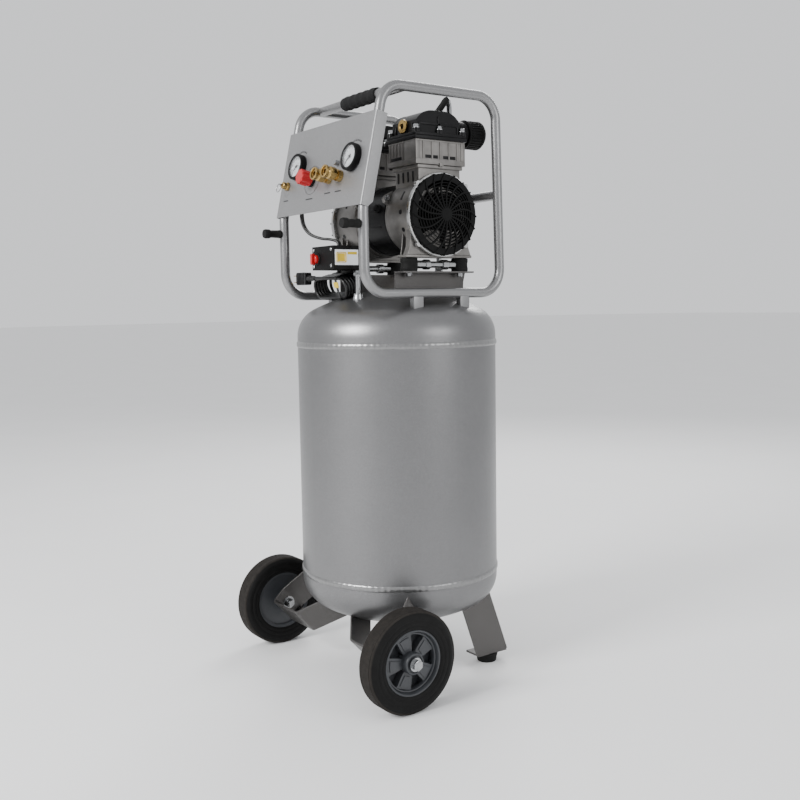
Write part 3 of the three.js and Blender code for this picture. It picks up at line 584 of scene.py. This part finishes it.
def add_hub(side, place):
    body, mid = f"wheel_{side}", WHEEL_MID
    hub = Piece(f"hub_{side}", place)
    rim = [(54.6, mid - 15), (60.8, mid - 17), (61, mid), (60.8, mid + 17), (59.6, mid + 18.4),
           (57.4, mid + 18.6), (56.2, mid + 17.4), (55.4, mid + 13), (54.4, mid + 10), (54.4, mid - 10)]
    hub.lathe(rim + rim[:1], 96, "x")
    ring = [(50.5, mid + 3), (54.8, mid + 3), (54.8, mid + 10.5), (53.6, mid + 11.6), (51.6, mid + 11.2),
            (50.5, mid + 9)]
    hub.lathe(ring + ring[:1], 96, "x")
    boss = [(7, 216.5), (15.5, 216.5), (17.5, 219), (18.5, 232), (20.5, mid + 6), (20.3, mid + 20),
            (19, mid + 22.5), (16.5, mid + 23), (15.5, mid + 20.5), (8, mid + 20.2), (7, mid + 20)]
    hub.lathe(boss + boss[:1], 64, "x")
    web = [(7, mid - 11), (55, mid - 11), (55, mid - 9), (7, mid - 9)]
    hub.lathe(web + web[:1], 64, "x")
    hub.done(HUB, body, (f"wheel_hub_{side}",), 35)
    spokes = Piece(f"hub_spokes_{side}", place)
    edge = [(18, -26), (24, -25), (36, -22), (47, -19), (52.5, -21), (56.6, -29)]
    outline = edge + [(r, -a) for r, a in reversed(edge)]
    for k in range(5):
        start = 360 * k / 5 + math.degrees(0.3) + 36
        points = [(r * math.cos(math.radians(start + a)), r * math.sin(math.radians(start + a)))
                  for r, a in outline]
        spokes.prism(points, mid - 8, mid + 8.5, TO_X)
        rib = arc(0, 0, 46, start - 13, start + 13, 4) + arc(0, 0, 26, start + 13, start - 13, 4)
        spokes.prism(rib, mid + 8, mid + 10, TO_X)
    spokes.done(HUB, body, smooth=30, bevel=1.5)


def add_wheel(side, s):
    place = mirrored(TANK, s) @ move(WHEEL)
    add_tyre(side, place)
    add_hub(side, place)
    bolt = Piece(f"axle_{side}", place)
    bolt.lathe([(0, 190), (5.9, 190), (5.9, 268), (0, 268)], 24, "x")
    bolt.bolt(17.6, 9.2, move((WHEEL_MID + 24.9, 0, 0)) @ TO_X)
    bolt.bolt(18.4, 9.0, move((203, 0, 0)) @ Matrix.Rotation(-math.pi / 2, 4, "Y"))
    bolt.lathe([(6, 207.4), (8.5, 207.4), (8.5, 215.6), (6, 215.6), (6, 207.4)], 24, "x")
    bolt.done(STEEL, replaces=(f"axle_bolt_{side}",))


def add_bracket(side, s):
    tilt = math.radians(43)
    across = WHEEL.y * math.sin(tilt) - WHEEL.z * math.cos(tilt)
    local = Matrix(((1, 0, 0, 0), (0, math.cos(tilt), -math.sin(tilt), math.sin(tilt) * across),
                    (0, math.sin(tilt), math.cos(tilt), -math.cos(tilt) * across), (0, 0, 0, 1)))
    strap = Piece(f"wheel_strap_{side}", mirrored(TANK, s) @ local)
    corners = [(14, 16.8, 0), (106, -68.4, 0), (205, -68.4, 0), (205, -34, 0), (167.5, 60, 0)]
    path = bent(corners, (12, 9, 24), 8)
    strap.sweep([(-2, -31.3), (2, -31.3), (2, 31.3), (-2, 31.3)], path, side=(0, 0, 1), flat=True)
    strap.box(192, 204, -60, -36, -31.4, -29, 0.8)
    strap.done(BRACKET_SILVER, replaces=(f"wheel_bracket_{side}",), bevel=0.7)


def add_leg(side, s):
    dress(f"rear_leg_{side}", BRACKET_SILVER)
    foot = Piece(f"foot_pad_{side}", mirrored(TANK, s) @ move((124, 128, 0)))
    foot.lathe([(0, 0), (18, 0), (19.2, 1), (20.0, 4), (19.6, 4.8), (20.2, 5.4), (21.4, 12), (22.6, 15),
                (22.8, 17.2), (21.8, 18), (0, 18)], 48)
    foot.done(RUBBER, replaces=(f"foot_{side}",))
    nut = Piece(f"foot_bolt_{side}", mirrored(TANK, s) @ move((124, 128, 22)))
    nut.bolt(10, 6, Matrix())
    nut.done(STEEL)


def dress(node, mat):
    """Gives a carried-over node a procedural material in every slot."""
    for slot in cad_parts[node].material_slots:
        slot.material = mat


# ---------- pump ----------
def add_crankcase(side, s):
    space = mirrored(PUMP, s)
    case = Piece(f"crankcase_casting_{side}", space)
    line = [(40, 45.2), (68, 45.2), (70, 46.5), (70.5, 56), (73, 58), (73.6, 62), (73.6, 122), (72, 126),
            (72, 131)]
    case.lathe(line + [(52, 131), (50, 128), (50, 52), (40, 50), (40, 45.2)], 96, "x")
    case.box(54, 131, -50, 50, 40, 93, 5)
    case.box(50, 134, -53.5, 53.5, 86, 93.2, 2)
    case.box(96, 130, -77.6, 77.6, -80.5, -75, 1.5)
    case.prism([(-68, -28), (-70, -60), (-76, -75.2), (76, -75.2), (70, -60), (68, -28)], 114, 129, END_ON)
    case.prism([(-66, -34), (-70, -66), (-72, -75.2), (72, -75.2), (70, -66), (66, -34)], 98, 101, END_ON)
    case.prism([(-66, 22), (-75, 27), (-78, 35), (-72, 42), (-56, 50)], 47, 56, END_ON)
    case.done(CAST, replaces=(f"crankcase_{side}",), bevel=0.8)
    rim = Piece(f"crankcase_rim_{side}", space)
    line = [(70, 131.2), (78, 131.2), (80, 132.6), (80, 138.4), (78.6, 139.8), (70, 139.8)]
    rim.lathe(line + line[:1], 96, "x")
    for k in range(4):
        a = math.radians(45 + 90 * k)
        rim.lathe([(0, 131.6), (5.5, 131.6), (5.5, 139.8), (0, 139.8)], 20, "x",
                  move((0, 79 * math.cos(a), 79 * math.sin(a))))
    rim.done(MACHINED, bevel=0.4)
    # Flat black marks laid on the casting's faces: painted shade standing in for the dark insides of its
    # slots and holes.
    opening_shade = Piece(f"crankcase_opening_shade_{side}", space)
    face = Matrix(((1, 0, 0, 0), (0, 0, 1, -50.3), (0, 1, 0, 0), (0, 0, 0, 1)))
    for k in range(4):
        x = 66 + 16 * k
        opening_shade.prism(rounded(x - 2.2, x + 2.2, 62, 82, 2.1), -0.4, 0.5, face)
    for x in (66, 122):
        opening_shade.prism(arc(x, 50, 3.2, 0, 360, 16)[:-1], -0.4, 0.5, face)
    for x, turn, long in ((98, -30, 9), (104, -4, 0), (106, 22, 0)):
        at = Matrix.Rotation(math.radians(turn), 4, "X") @ move((x, -73.6, 0))
        if long:
            opening_shade.box(-2.2, 2.2, -0.5, 0.7, -long, long, 0.5, at)
        else:
            opening_shade.lathe([(0, -0.5), (4.4, -0.5), (4.4, 0.7), (0, 0.7)], 24, "y", at)
    opening_shade.done(ENAMEL)
    bolts = Piece(f"crankcase_bolts_{side}", space)
    bolts.bolt(8, 5, move((56, -70, 36)) @ TO_X)
    for y in (-61, 61):
        bolts.bolt(9, 7, move((107, y, -75)))
    bolts.done(STEEL)


def add_cylinder(side, s):
    space = mirrored(PUMP, s)
    block = Piece(f"cylinder_casting_{side}", space)
    block.box(45.6, 134.4, -57.2, 57.2, 93.4, 138.9, 2)
    block.box(44.2, 135.8, -58.6, 58.6, 93.4, 103.5, 1.8)
    block.box(44.6, 135.4, -58.2, 58.2, 135.5, 139, 1.0)
    for y in (-1, 1):
        block.box(100, 135.6, *sorted((y * 50, y * 58.6)), 103, 136, 2.0)
        for k in range(5):
            x = 49 + 10.6 * k
            block.box(x - 1.7, x + 1.7, *sorted((y * 54, y * 58.5)), 103 if k in (0, 4) else 112, 136, 0.8)
    for k in range(5):
        y = -40 + 20 * k
        block.box(131, 135.8, y - 1.7, y + 1.7, 103, 136, 0.8)
        block.box(44.2, 49, y - 1.7, y + 1.7, 103, 136, 0.8)
    block.box(128, 135.8, -58.6, -49, 103, 136, 2.0)
    block.box(128, 135.8, 49, 58.6, 103, 136, 2.0)
    block.box(131, 138.4, -4.5, 4.5, 90, 97, 1.5)
    casting = block.done(CAST, replaces=(f"cylinder_{side}",))
    bore = Piece(f"cylinder_bore_{side}", space)
    bore.lathe([(0, 85), (BORE, 85), (BORE, 136), (0, 136)], 64, "z", move((HEAD_X, 0, 0)))
    carve(casting, bore.done(CAST, body=None), overlapping=True)
    # Black boxes set in the gaps between the fins: painted shade for the slots' depth, which is not cut into
    # the casting.
    slot_shade = Piece(f"cylinder_slot_shade_{side}", space)
    for y in (-1, 1):
        slot_shade.box(53, 88, *sorted((y * 55, y * 57.6)), 104.6, 110.6, 1.0)
    for y0, y1 in ((-36, -6), (6, 36)):
        slot_shade.box(132, 134.8, y0, y1, 104.6, 111, 1.0)
        slot_shade.box(45.2, 48, y0, y1, 104.6, 111, 1.0)
    slot_shade.done(ENAMEL)


def arch(y):
    """Height of the head cover across its width."""
    return 194.5 - 20 * (abs(y) / 52) ** 3.4


def add_head(side, s):
    space = mirrored(PUMP, s)
    plate = Piece(f"head_plate_{side}", space)
    plate.box(41.2, 138.8, -61.5, 61.5, 139.4, 146, 1.8)
    plate.box(42.4, 137.6, -60.3, 60.3, 146, 152.2, 1.6)
    for x in (48.5, 131.5):
        for y in (-54, 0, 54):
            plate.lathe([(0, 150), (7.6, 150), (7.2, 158), (6, 159), (0, 159)], 28, "z",
                        move((x, y, 0)))
    plate.done(ENAMEL, replaces=(f"cylinder_head_{side}",), bevel=0.5)

    cover = Piece(f"head_cover_{side}", space)
    top = []
    for k in range(105):
        y = -51 + k * 102 / 104
        groove = 2.0 if k % 4 in (2, 3) and y > -36 else 0
        top.append((y, arch(y) - groove))
    outline = [(51.4, 151), (-51.4, 151)] + top
    cover.prism(outline, 57, 123, END_ON)
    smooth_top = [(y, arch(y) + 0.5) for y in [-51.6 + 103.2 * k / 40 for k in range(41)]]
    for x0, x1 in ((50.4, 57.4), (122.6, 129.6)):
        cover.prism([(51.8, 151), (-51.8, 151)] + smooth_top, x0, x1, END_ON)
    for x0, x1 in ((48.6, 51), (129, 131.4)):
        cover.box(x0, x1, -3.2, 3.2, 151, 184, 0.8)
        cover.box(x0, x1, -44, 44, 167, 171.4, 0.8)
        cover.box(x0, x1, -47, -42.5, 151, 171, 0.8)
        cover.box(x0, x1, 42.5, 47, 151, 171, 0.8)
    for k in range(4):
        x = 63 + 18 * k
        cover.box(x - 1.6, x + 1.6, -53.6, -50.4, 151, 170, 0.6)
    cover.done(ENAMEL, bevel=0.9)

    inlet = space @ move((HEAD_X, -50, 166.8))
    port = Piece(f"head_port_{side}", inlet)
    port.lathe([(5, -1), (9, -1), (9, 3), (13, 3.4), (13, 6.6), (12, 7.6), (6.4, 8), (5.2, 7),
                (5, -1)], 40, "y",
               FORWARD)
    port.done(BRASS)
    # A black disc inside the brass port: painted shade for the dark depth of its bore.
    port_shade = Piece(f"head_port_shade_{side}", inlet)
    port_shade.lathe([(0, 2.5), (5.4, 2.5), (5.4, 3), (0, 3)], 24, "y", FORWARD)
    port_shade.done(ENAMEL)
    bolts = Piece(f"head_bolts_{side}", space)
    for x in (48.5, 131.5):
        for y in (-54, 0, 54):
            bolts.bolt(9.5, 7.2, move((x, y, 158.6)))
    bolts.done(STEEL)


def add_filter(side, s):
    space = mirrored(PUMP, s) @ move((HEAD_X, 52.3, PORT_Z))
    body = Piece(f"filter_body_{side}", space)
    body.lathe([(0, 9), (10.5, 9), (10.5, 13), (22, 14.5), (24, 16.5), (24, 33), (22.5, 34.4), (22.5, 36),
                (0, 36)],
               64, "y")
    body.lathe([(0, 35.6), (26.6, 35.6), (27.9, 37), (27.9, 40), (26.4, 41), (26.4, 68), (27.9, 69),
                (27.9, 72.5), (26.5, 74.5), (23.8, 77.6), (20, 77.8), (19, 76.6), (0, 76.6)], 64, "y")
    for k in range(30):
        a = 2 * math.pi * k / 30
        turn = Matrix.Rotation(a, 4, "Y")
        body.box(25.6, 27.6, 41, 68, -1.1, 1.1, 0, turn)
    body.done(BLACK, replaces=(f"intake_filter_{side}",), bevel=0.4)
    nut = Piece(f"filter_nut_{side}", space)
    nut.lathe([(0, 0.2), (10.4, 0.2), (10.4, 2), (0, 2)], 32, "y")
    nut.lathe([(0, 2), (10.2, 2), (10.8, 3), (10.8, 8.4), (9.8, 9.4), (0, 9.4)], 6, "y")
    nut.done(STEEL)


def add_fan_cover(side, s):
    space = mirrored(PUMP, s)
    cover = Piece(f"fan_grille_{side}", space)

    def dome(r):
        return 153.2 - 6.5 * (r / 76.0) ** 2

    rim = [(64, 142), (72, 140.4), (76.2, 140.4), (76.4, 143.5), (75.2, 146), (72, dome(72) - 1.6),
           (64, dome(64) - 2.2)]
    cover.lathe(rim + rim[:1], 120, "x")
    for k in range(8):
        r = 17.5 + 5.9 * k
        x = dome(r) - 1.4
        line = [(r - 1.3, x - 3.2), (r + 0.2, x - 3.2), (r + 1.5, x - 0.4), (r + 1.2, x), (r, x)]
        cover.lathe(line + line[:1], 96, "x")
    cover.lathe([(0, 149), (12.6, 149), (12.8, 152), (11.6, 153.4), (3, 153.4), (0, 153)], 48, "x")
    for k in range(20):
        path = []
        for i in range(13):
            t = i / 12
            r = 11.5 + 63 * t
            a = 2 * math.pi * k / 20 - 0.40 * t * t + 0.08 * t
            path.append((dome(r) - 1.2, r * math.cos(a), r * math.sin(a)))
        path.append((145.4, 76.4 * math.cos(a - 0.01), 76.4 * math.sin(a - 0.01)))
        path.append((142, 76.8 * math.cos(a - 0.012), 76.8 * math.sin(a - 0.012)))
        shape = [(-1.7, -1.8), (1.7, -1.8), (1.5, 0.9), (0.7, 1.5), (-0.7, 1.5), (-1.5, 0.9)]
        cover.sweep(shape, path, side=(0, 0, 1), up=(1, 0, 0))
    cover.done(BLACK, replaces=(f"fan_cover_{side}",), smooth=40)


def add_motor():
    shell = Piece("motor_shell", PUMP)
    line = [(40, -44.4), (67.5, -44.4), (69.6, -42), (69.6, -30), (68.6, -29), (68.6, 29), (69.6, 30),
            (69.6, 42), (67.5, 44.4), (40, 44.4)]
    shell.lathe(line + line[:1], 96, "x")
    for k in range(12):
        a = math.radians(30 * k + 15)
        shell.box(-28, 28, 66, 69.4, -2.2, 2.2, 0.8, Matrix.Rotation(a, 4, "X"))
    shell.done(ENAMEL, replaces=("stator_shell",), smooth=35)
    grommet = Piece("motor_grommet", PUMP)
    at = Matrix.Rotation(math.radians(-20), 4, "X") @ move((20, -69, -6))
    grommet.lathe([(0, 0), (9, 0), (9, 3), (6.5, 5), (6.5, 9), (4.5, 9.6), (0, 9.6)], 28, "y", at @ FORWARD)
    grommet.done(RUBBER)
    dress("rotor", BLACK)
    for side in SIDES:
        dress(f"piston_{side}", CAST)


def add_lines():
    cross = Piece("crossover_pipe", PUMP)
    cross.tube([(-46, 50, PORT_Z), (46, 50, PORT_Z)], 6, 24)
    for s in (-1, 1):
        cross.lathe([(0, 36), (9.5, 36), (9.8, 37), (9.8, 44), (9.5, 45), (0, 45)], 6, "x",
                    move((0, 50, PORT_Z)) @ Matrix.Scale(s, 4, (1, 0, 0)))
    cross.done(STEEL, replaces=("discharge_line",))
    hose = Piece("discharge_hose")
    rising = [(30, 50, 1065.3), (37, 56, 1083), (50, 66, 1103), (62, 75, 1122), (64, 86, 1135)]
    falling = [(58, 96, 1124), (50, 102, 1100), (32, 110, 1060), (6, 117, 1000), (-9, 119, 940),
               (-10, 118, 880), (-10, 118, 800)]
    whole = smooth_path(rising + falling, 8)
    hose.tube(whole[:33], 6.4, 24)
    hose.done(RUBBER, smooth=50)
    pipe = Piece("discharge_pipe")
    pipe.tube(whole[32:], 5.4, 24)
    pipe.lathe([(0, 0), (8, 0), (8.4, 1), (8.4, 8), (8, 9), (0, 9)], 6, "z", move((-10, 118, 799.6)))
    pipe.done(STEEL, smooth=50)
    dress("check_valve", BRASS)
    riser = Piece("riser_tube")
    riser.lathe([(0, 741), (10.2, 741), (10.2, 748), (9, 751), (9, 755.6), (5, 756.4), (5, 789),
                 (0, 789)], 32, "z",
                move((34, -112, 0)))
    riser.lathe([(0, 788), (7.6, 788), (8.2, 789), (8.2, 799), (7.6, 800), (0, 800)], 6, "z",
                move((34, -112, 0)))
    riser.done(STEEL, replaces=("riser_pipe",))


def add_mounts():
    dress("motor_platform", BRACKET_SILVER)
    for side, s in SIDES.items():
        for place, y in (("front", -46), ("rear", 76)):
            mount = Piece(f"mount_{place}_{side}", mirrored(TANK, s) @ move((112, y, 796.3)))
            mount.lathe([(0, 0.1), (15.6, 0.1), (16.5, 1.2), (16.5, 7), (15.7, 8.4), (15.6, 12.3),
                         (15.7, 16.2), (16.5, 17.6), (16.5, 23.4), (15.6, 24.6), (0, 24.6)], 48)
            mount.done(RUBBER, replaces=(f"rubber_mount_{place}_{side}",), smooth=50)
            stud = Piece(f"mount_stud_{place}_{side}", mirrored(TANK, s) @ move((112, y, 793)))
            stud.bolt(10, 7, Matrix.Rotation(math.pi, 4, "X"))
            stud.done(STEEL)
        link = Piece(f"mount_link_{side}", mirrored(TANK, s) @ move((112, 0, 809)))
        link.lathe([(0, -31), (8, -31), (8, -12), (10, -11), (10, 0), (6.5, 1), (6.5, 30), (10, 31), (10, 44),
                    (8, 45), (8, 61), (0, 61)], 32, "y")
        link.done(STEEL, bevel=0.5)


# ---------- switch and hoses ----------
def add_switch():
    box = Piece("switch_housing")
    box.prism(rounded(-41, 40, -170, -129.4, 4), 802, 846.8)
    box.prism(rounded(-41, 40, -128.8, -88, 4), 802, 846.8)
    box.prism(rounded(-39.4, 38.4, -160, -98, 4), 803, 845.4)
    box.lathe([(0, 0), (7, 0), (7, 1.2), (0, 1.2)], 24, "z", move((-20, -119, 845.6)))
    box.done(BLACK, replaces=("pressure_switch",), bevel=1.3)
    screws = Piece("switch_screws")
    for x in (-33, 32):
        for z in (809, 840):
            screws.lathe([(0, 0), (3.2, 0), (3.2, 0.6), (2.4, 1.3), (0, 1.5)], 20, "y",
                         move((x, -169.9, z)) @ FORWARD)
    screws.done(STEEL)
    label = Piece("switch_label")
    label.box(39.8, 40.25, -166, -114, 810, 839)
    label.done(WHITE)
    stripe = Piece("switch_label_bar")
    stripe.box(40.0, 40.35, -138, -117, 830, 835)
    stripe.box(40.0, 40.35, -163, -142, 815, 834, 2.5)
    stripe.done(YELLOW)
    bezel = Piece("switch_bezel")
    bezel.lathe([(8.4, 0), (12, 0), (12, 1.4), (11, 2.2), (8.6, 2.2), (8.4, 0)], 40, "y",
                move((-20, -170, 823)) @ FORWARD)
    bezel.done(BLACK)
    lever = Piece("switch_knob", TANK @ move((-20, -170.3, 823)))
    lever.lathe([(0, 0), (8, 0), (8, 5.4), (7, 7.4), (5, 8), (0, 8)], 40, "y", FORWARD)
    lever.prism(rounded(-3.4, 3.4, -10.8, 10.8, 3.2), 6, 13.8, FACING)
    lever.done(RED, "switch_lever", ("switch_lever",), bevel=0.8)
    route = smooth_path([(-96, -156, 950), (-97, -158, 922), (-93, -157, 895), (-80, -150, 876),
                         (-58, -138, 866),
                         (-38, -128, 863), (-25, -121, 859), (-20, -119, 853), (-20, -119, 846)], 6)
    apart = Vector((0.49, -0.87, 0)) * 2.9
    hoses = Piece("control_lines")
    for way in (-1, 1):
        hoses.tube([p + apart * way for p in route], 2.8, 16)
    hoses.done(CORD, replaces=("control_hose",), smooth=50)


# ---------- control panel ----------
def add_sheet():
    half, sheet, flange, length = 159.5, 1.6, 24, 172.4
    side, skin = half - sheet / 2, -sheet / 2
    cross = bent([(-side, 0, -flange), (-side, 0, skin), (side, 0, skin), (side, 0, -flange)], (3, 3), 6)
    front = Piece("panel_sheet", PANEL)
    front.prism(outline_band([(p.x, p.z) for p in cross], sheet / 2), 0, length, FACING)
    obj = front.done(PANEL_SILVER, replaces=("control_panel",), smooth=35)
    cutter = Piece("panel_cutter", PANEL)
    corner = [(-30, -length - 5), (-12, -length - 5), (-16, -length + 1), (-24.4, -length + 11),
              (-30, -length + 12)]
    for x in (-170, 155):
        cutter.prism(corner, x, x + 15, Matrix(((0, 0, 1, 0), (0, 1, 0, 0), (1, 0, 0, 0), (0, 0, 0, 1))))
    holes = [(*spot, 9) for spot in (*GAUGES.values(), REGULATOR, *COUPLERS.values())] + [(*RELIEF, 7)]
    for x, y, r in holes:
        cutter.lathe([(0, -10), (r, -10), (r, 10), (0, 10)], 32, "z", move((x, y, 0)))
    carve(obj, cutter.done(PANEL_SILVER, body=None))


def outline_band(line, half):
    """Closed outline of a flat line thickened to both sides."""
    sides = ([], [])
    for i, (x, z) in enumerate(line):
        a, b = line[max(i - 1, 0)], line[min(i + 1, len(line) - 1)]
        d = Vector((b[0] - a[0], b[1] - a[1])).normalized()
        sides[0].append((x - d.y * half, z + d.x * half))
        sides[1].append((x + d.y * half, z - d.x * half))
    return sides[0] + sides[1][::-1]


def add_gauge(side, spot):
    place = PANEL @ move((*spot, 0))
    case = Piece(f"gauge_case_{side}", place)
    case.lathe([(0, 0.3), (24.4, 0.3), (25.8, 1.6), (26, 3), (25.4, 9.6), (25.9, 10.4), (25.9, 12),
                (25, 12.9), (21.6, 12.9), (20.6, 12), (20.6, 7.6), (0, 7.6)], 80)
    case.lathe([(0, -26), (5.8, -26), (5.8, 0.5), (0, 0.5)], 24)
    case.done(BLACK, replaces=(f"gauge_{side}",), smooth=40)
    dial = Piece(f"gauge_dial_{side}", place)
    dial.lathe([(0, 7.5), (20.5, 7.5), (20.5, 8.0), (0, 8.0)], 64)
    dial.done(WHITE)
    marks = Piece(f"gauge_marks_{side}", place)
    for k in range(28):
        start, half = (16, 0.34) if k % 3 else (14.2, 0.55)
        tick = Matrix.Rotation(math.radians(225 - 10 * k), 4, "Z")
        marks.box(start, 18.2, -half, half, 7.9, 8.12, 0, tick)
    ring = [(18.4, 7.9), (18.9, 7.9), (18.9, 8.12), (18.4, 8.12)]
    marks.lathe(ring + ring[:1], 64)
    marks.done(INK)
    needle = Piece(f"gauge_hand_{side}", place @ Matrix.Rotation(-math.pi / 4, 4, "Z"))
    needle.prism([(-1.5, 5), (1.5, 5), (0.9, 0), (0.4, -16.6), (-0.4, -16.6), (-0.9, 0)], 9, 9.6)
    needle.lathe([(0, 8.4), (2.5, 8.4), (2.5, 10), (1.9, 10.5), (0, 10.5)], 24)
    needle.done(INK, f"gauge_needle_{side}", (f"gauge_needle_{side}",))
    lens = Piece(f"gauge_lens_{side}", place)
    lens.lathe([(0, 11.2), (20.5, 11.2), (20.5, 12.0), (11, 12.5), (0, 12.7)], 64)
    lens.done(GLASS)


def add_coupler(side, spot):
    place = PANEL @ move((*spot, 0))
    base = Piece(f"coupler_base_{side}", place)
    base.lathe([(0, 0.3), (10.9, 0.3), (10.9, 2), (0, 2)], 40)
    base.lathe([(4.6, 2), (10.2, 2), (10.9, 3), (10.9, 8), (10.2, 9), (8, 9.2), (8, 13.2), (4.6, 13.2),
                (4.6, 2)], 6)
    base.lathe([(4.6, 9), (8, 9), (8, 33.6), (6.4, 33.8), (4.6, 33), (4.6, 9)], 40)
    base.lathe([(0, 26), (4.8, 26), (4.8, 27), (0, 27)], 24)
    base.done(BRASS, bevel=0.4)
    sleeve = Piece(f"coupler_collar_{side}", place)
    line = [(8.7, 14.1), (11.4, 14.1), (12, 14.8), (12, 25.4), (11.2, 26.4), (10.4, 28), (10.4, 31),
            (11.4, 31.8), (12, 32.6), (12, 36), (11.2, 37), (9.4, 37), (8.7, 36)]
    sleeve.lathe(line + line[:1], 48)
    for k in range(24):
        sleeve.box(11.4, 12, -0.5, 0.5, 16, 24.6, 0, Matrix.Rotation(2 * math.pi * k / 24, 4, "Z"))
    sleeve.done(BRASS, f"coupler_sleeve_{side}", (f"coupler_sleeve_{side}",), smooth=30)


def add_regulator():
    place = PANEL @ move((*REGULATOR, 0))
    knob = Piece("regulator_handle", place)
    outline = []
    for k in range(80):
        a = 2 * math.pi * k / 80
        r = 13.9 + 0.85 * max(-1, min(1, math.cos(10 * a) * 2.2))
        outline.append((r * math.cos(a), r * math.sin(a)))
    knob.prism(outline, 9.5, 29)
    knob.lathe([(0, 5.2), (12.8, 5.2), (13.2, 6), (13.2, 9.8), (0, 9.8)], 48)
    knob.lathe([(0, 28.6), (12.6, 28.6), (12.2, 29.9), (0, 29.9)], 48)
    knob.done(RED, "regulator_knob", ("regulator_knob",), bevel=1.0)
    dress("regulator_manifold", BRASS)
    neck = Piece("regulator_collar", place)
    line = [(8.4, 0.1), (13.4, 0.1), (13.4, 3), (12.4, 4.4), (8.4, 4.4)]
    neck.lathe(line + line[:1], 48)
    neck.done(BLACK)


def add_relief_valve():
    place = PANEL @ move((*RELIEF, 0))
    valve = Piece("relief_valve_body", place)
    valve.lathe([(0, -20), (6, -20), (6, 0.2), (0, 0.2)], 24)
    valve.lathe([(0, 0.3), (8.2, 0.3), (9, 1), (9, 4.6), (8.2, 5.4), (0, 5.4)], 6)
    valve.lathe([(0, 5), (6.9, 5), (6.9, 12.6), (6.1, 13.6), (5, 14), (2.4, 14.2), (2.4, 15.9),
                 (0, 15.9)], 36)
    valve.done(BRASS, replaces=("safety_valve",))
    ring = Piece("relief_valve_ring", place)
    turns = [2 * math.pi * k / 48 for k in range(48)]
    loop = [(8 * math.cos(a), -8 + 8 * math.sin(a), 21) for a in turns]
    ring.tube(loop, 0.95, 12, closed=True)
    ring.lathe([(0, 16.3), (1.7, 16.3), (1.8, 17), (1.8, 21.4), (1.2, 22), (0, 22)], 20)
    ring.done(STEEL, "safety_ring", ("safety_ring",), smooth=50)


def add_panel_marks():
    """A bolt, and plain marks where a real panel has its printing."""
    screw = Piece("panel_bolt", PANEL @ move((55, -86, 0.1)))
    screw.bolt(9, 8.5, Matrix())
    screw.done(STEEL)

    marks = Piece("panel_marks", PANEL)
    circle = [(27.4, 0.02), (28.2, 0.02), (28.2, 0.14), (27.4, 0.14)]
    marks.lathe(circle + circle[:1], 72, at=move((*REGULATOR, 0)))
    for k in range(21):
        turn = move((*REGULATOR, 0)) @ Matrix.Rotation(math.radians(-55 + 14.5 * k), 4, "Z")
        marks.box(24.6, 27.6, -0.5, 0.5, 0.02, 0.16, 0, turn)
    for x, y, width in ((71, -140, 22), (33, -140, 22), (-34, -145, 26), (-129, -140, 18)):
        marks.box(x - width / 2, x + width / 2, y - 1.2, y + 1.2, 0.02, 0.16)
    for x, y in GAUGES.values():
        for k in range(7):
            turn = move((x, y, 0)) @ Matrix.Rotation(math.radians(60 + 10 * k), 4, "Z")
            marks.box(31, 34.5, -1.6, 1.6, 0.02, 0.16, 0, turn)
    marks.done(INK)


def add_drain():
    dress("drain_valve", BRASS)
    dress("drain_lever", STEEL)


def add_stage():
    floor = Piece("floor", Matrix.Scale(1, 4))
    floor.box(-40, 40, -40, 40, -0.05, 0)
    obj = floor.done(FLOOR, body=None)
    world = bpy.data.worlds.new("world")
    world.use_nodes = True
    world.node_tree.nodes["Background"].inputs["Color"].default_value = (0.97, 0.98, 1.0, 1)
    world.node_tree.nodes["Background"].inputs["Strength"].default_value = 1.0
    bpy.context.scene.world = world
    for name, place, size, power in (("key", (0.2, -3.2, 2.2), 1.3, 150), ("fill", (3.4, 0.9, 1.6), 1.6, 30),
                                     ("back", (-1.8, 2.2, 2.6), 1.6, 60)):
        data = bpy.data.lights.new(name, "AREA")
        data.size = size
        data.energy = power
        light = bpy.data.objects.new(name, data)
        aim = (Vector((0, 0, 0.6)) - Vector(place)).to_track_quat("-Z", "Y").to_matrix().to_4x4()
        light.matrix_world = move(place) @ aim
        bpy.context.collection.objects.link(light)


add_tank()
add_loops()
add_motor()
add_lines()
add_mounts()
add_switch()
add_sheet()
add_regulator()
add_relief_valve()
add_panel_marks()
for name, place in GAUGES.items():
    add_gauge(name, place)
for name, place in COUPLERS.items():
    add_coupler(name, place)
add_drain()
for name, sign in SIDES.items():
    add_wheel(name, sign)
    add_bracket(name, sign)
    add_leg(name, sign)
    add_crankcase(name, sign)
    add_cylinder(name, sign)
    add_head(name, sign)
    add_filter(name, sign)
    add_fan_cover(name, sign)
add_stage()
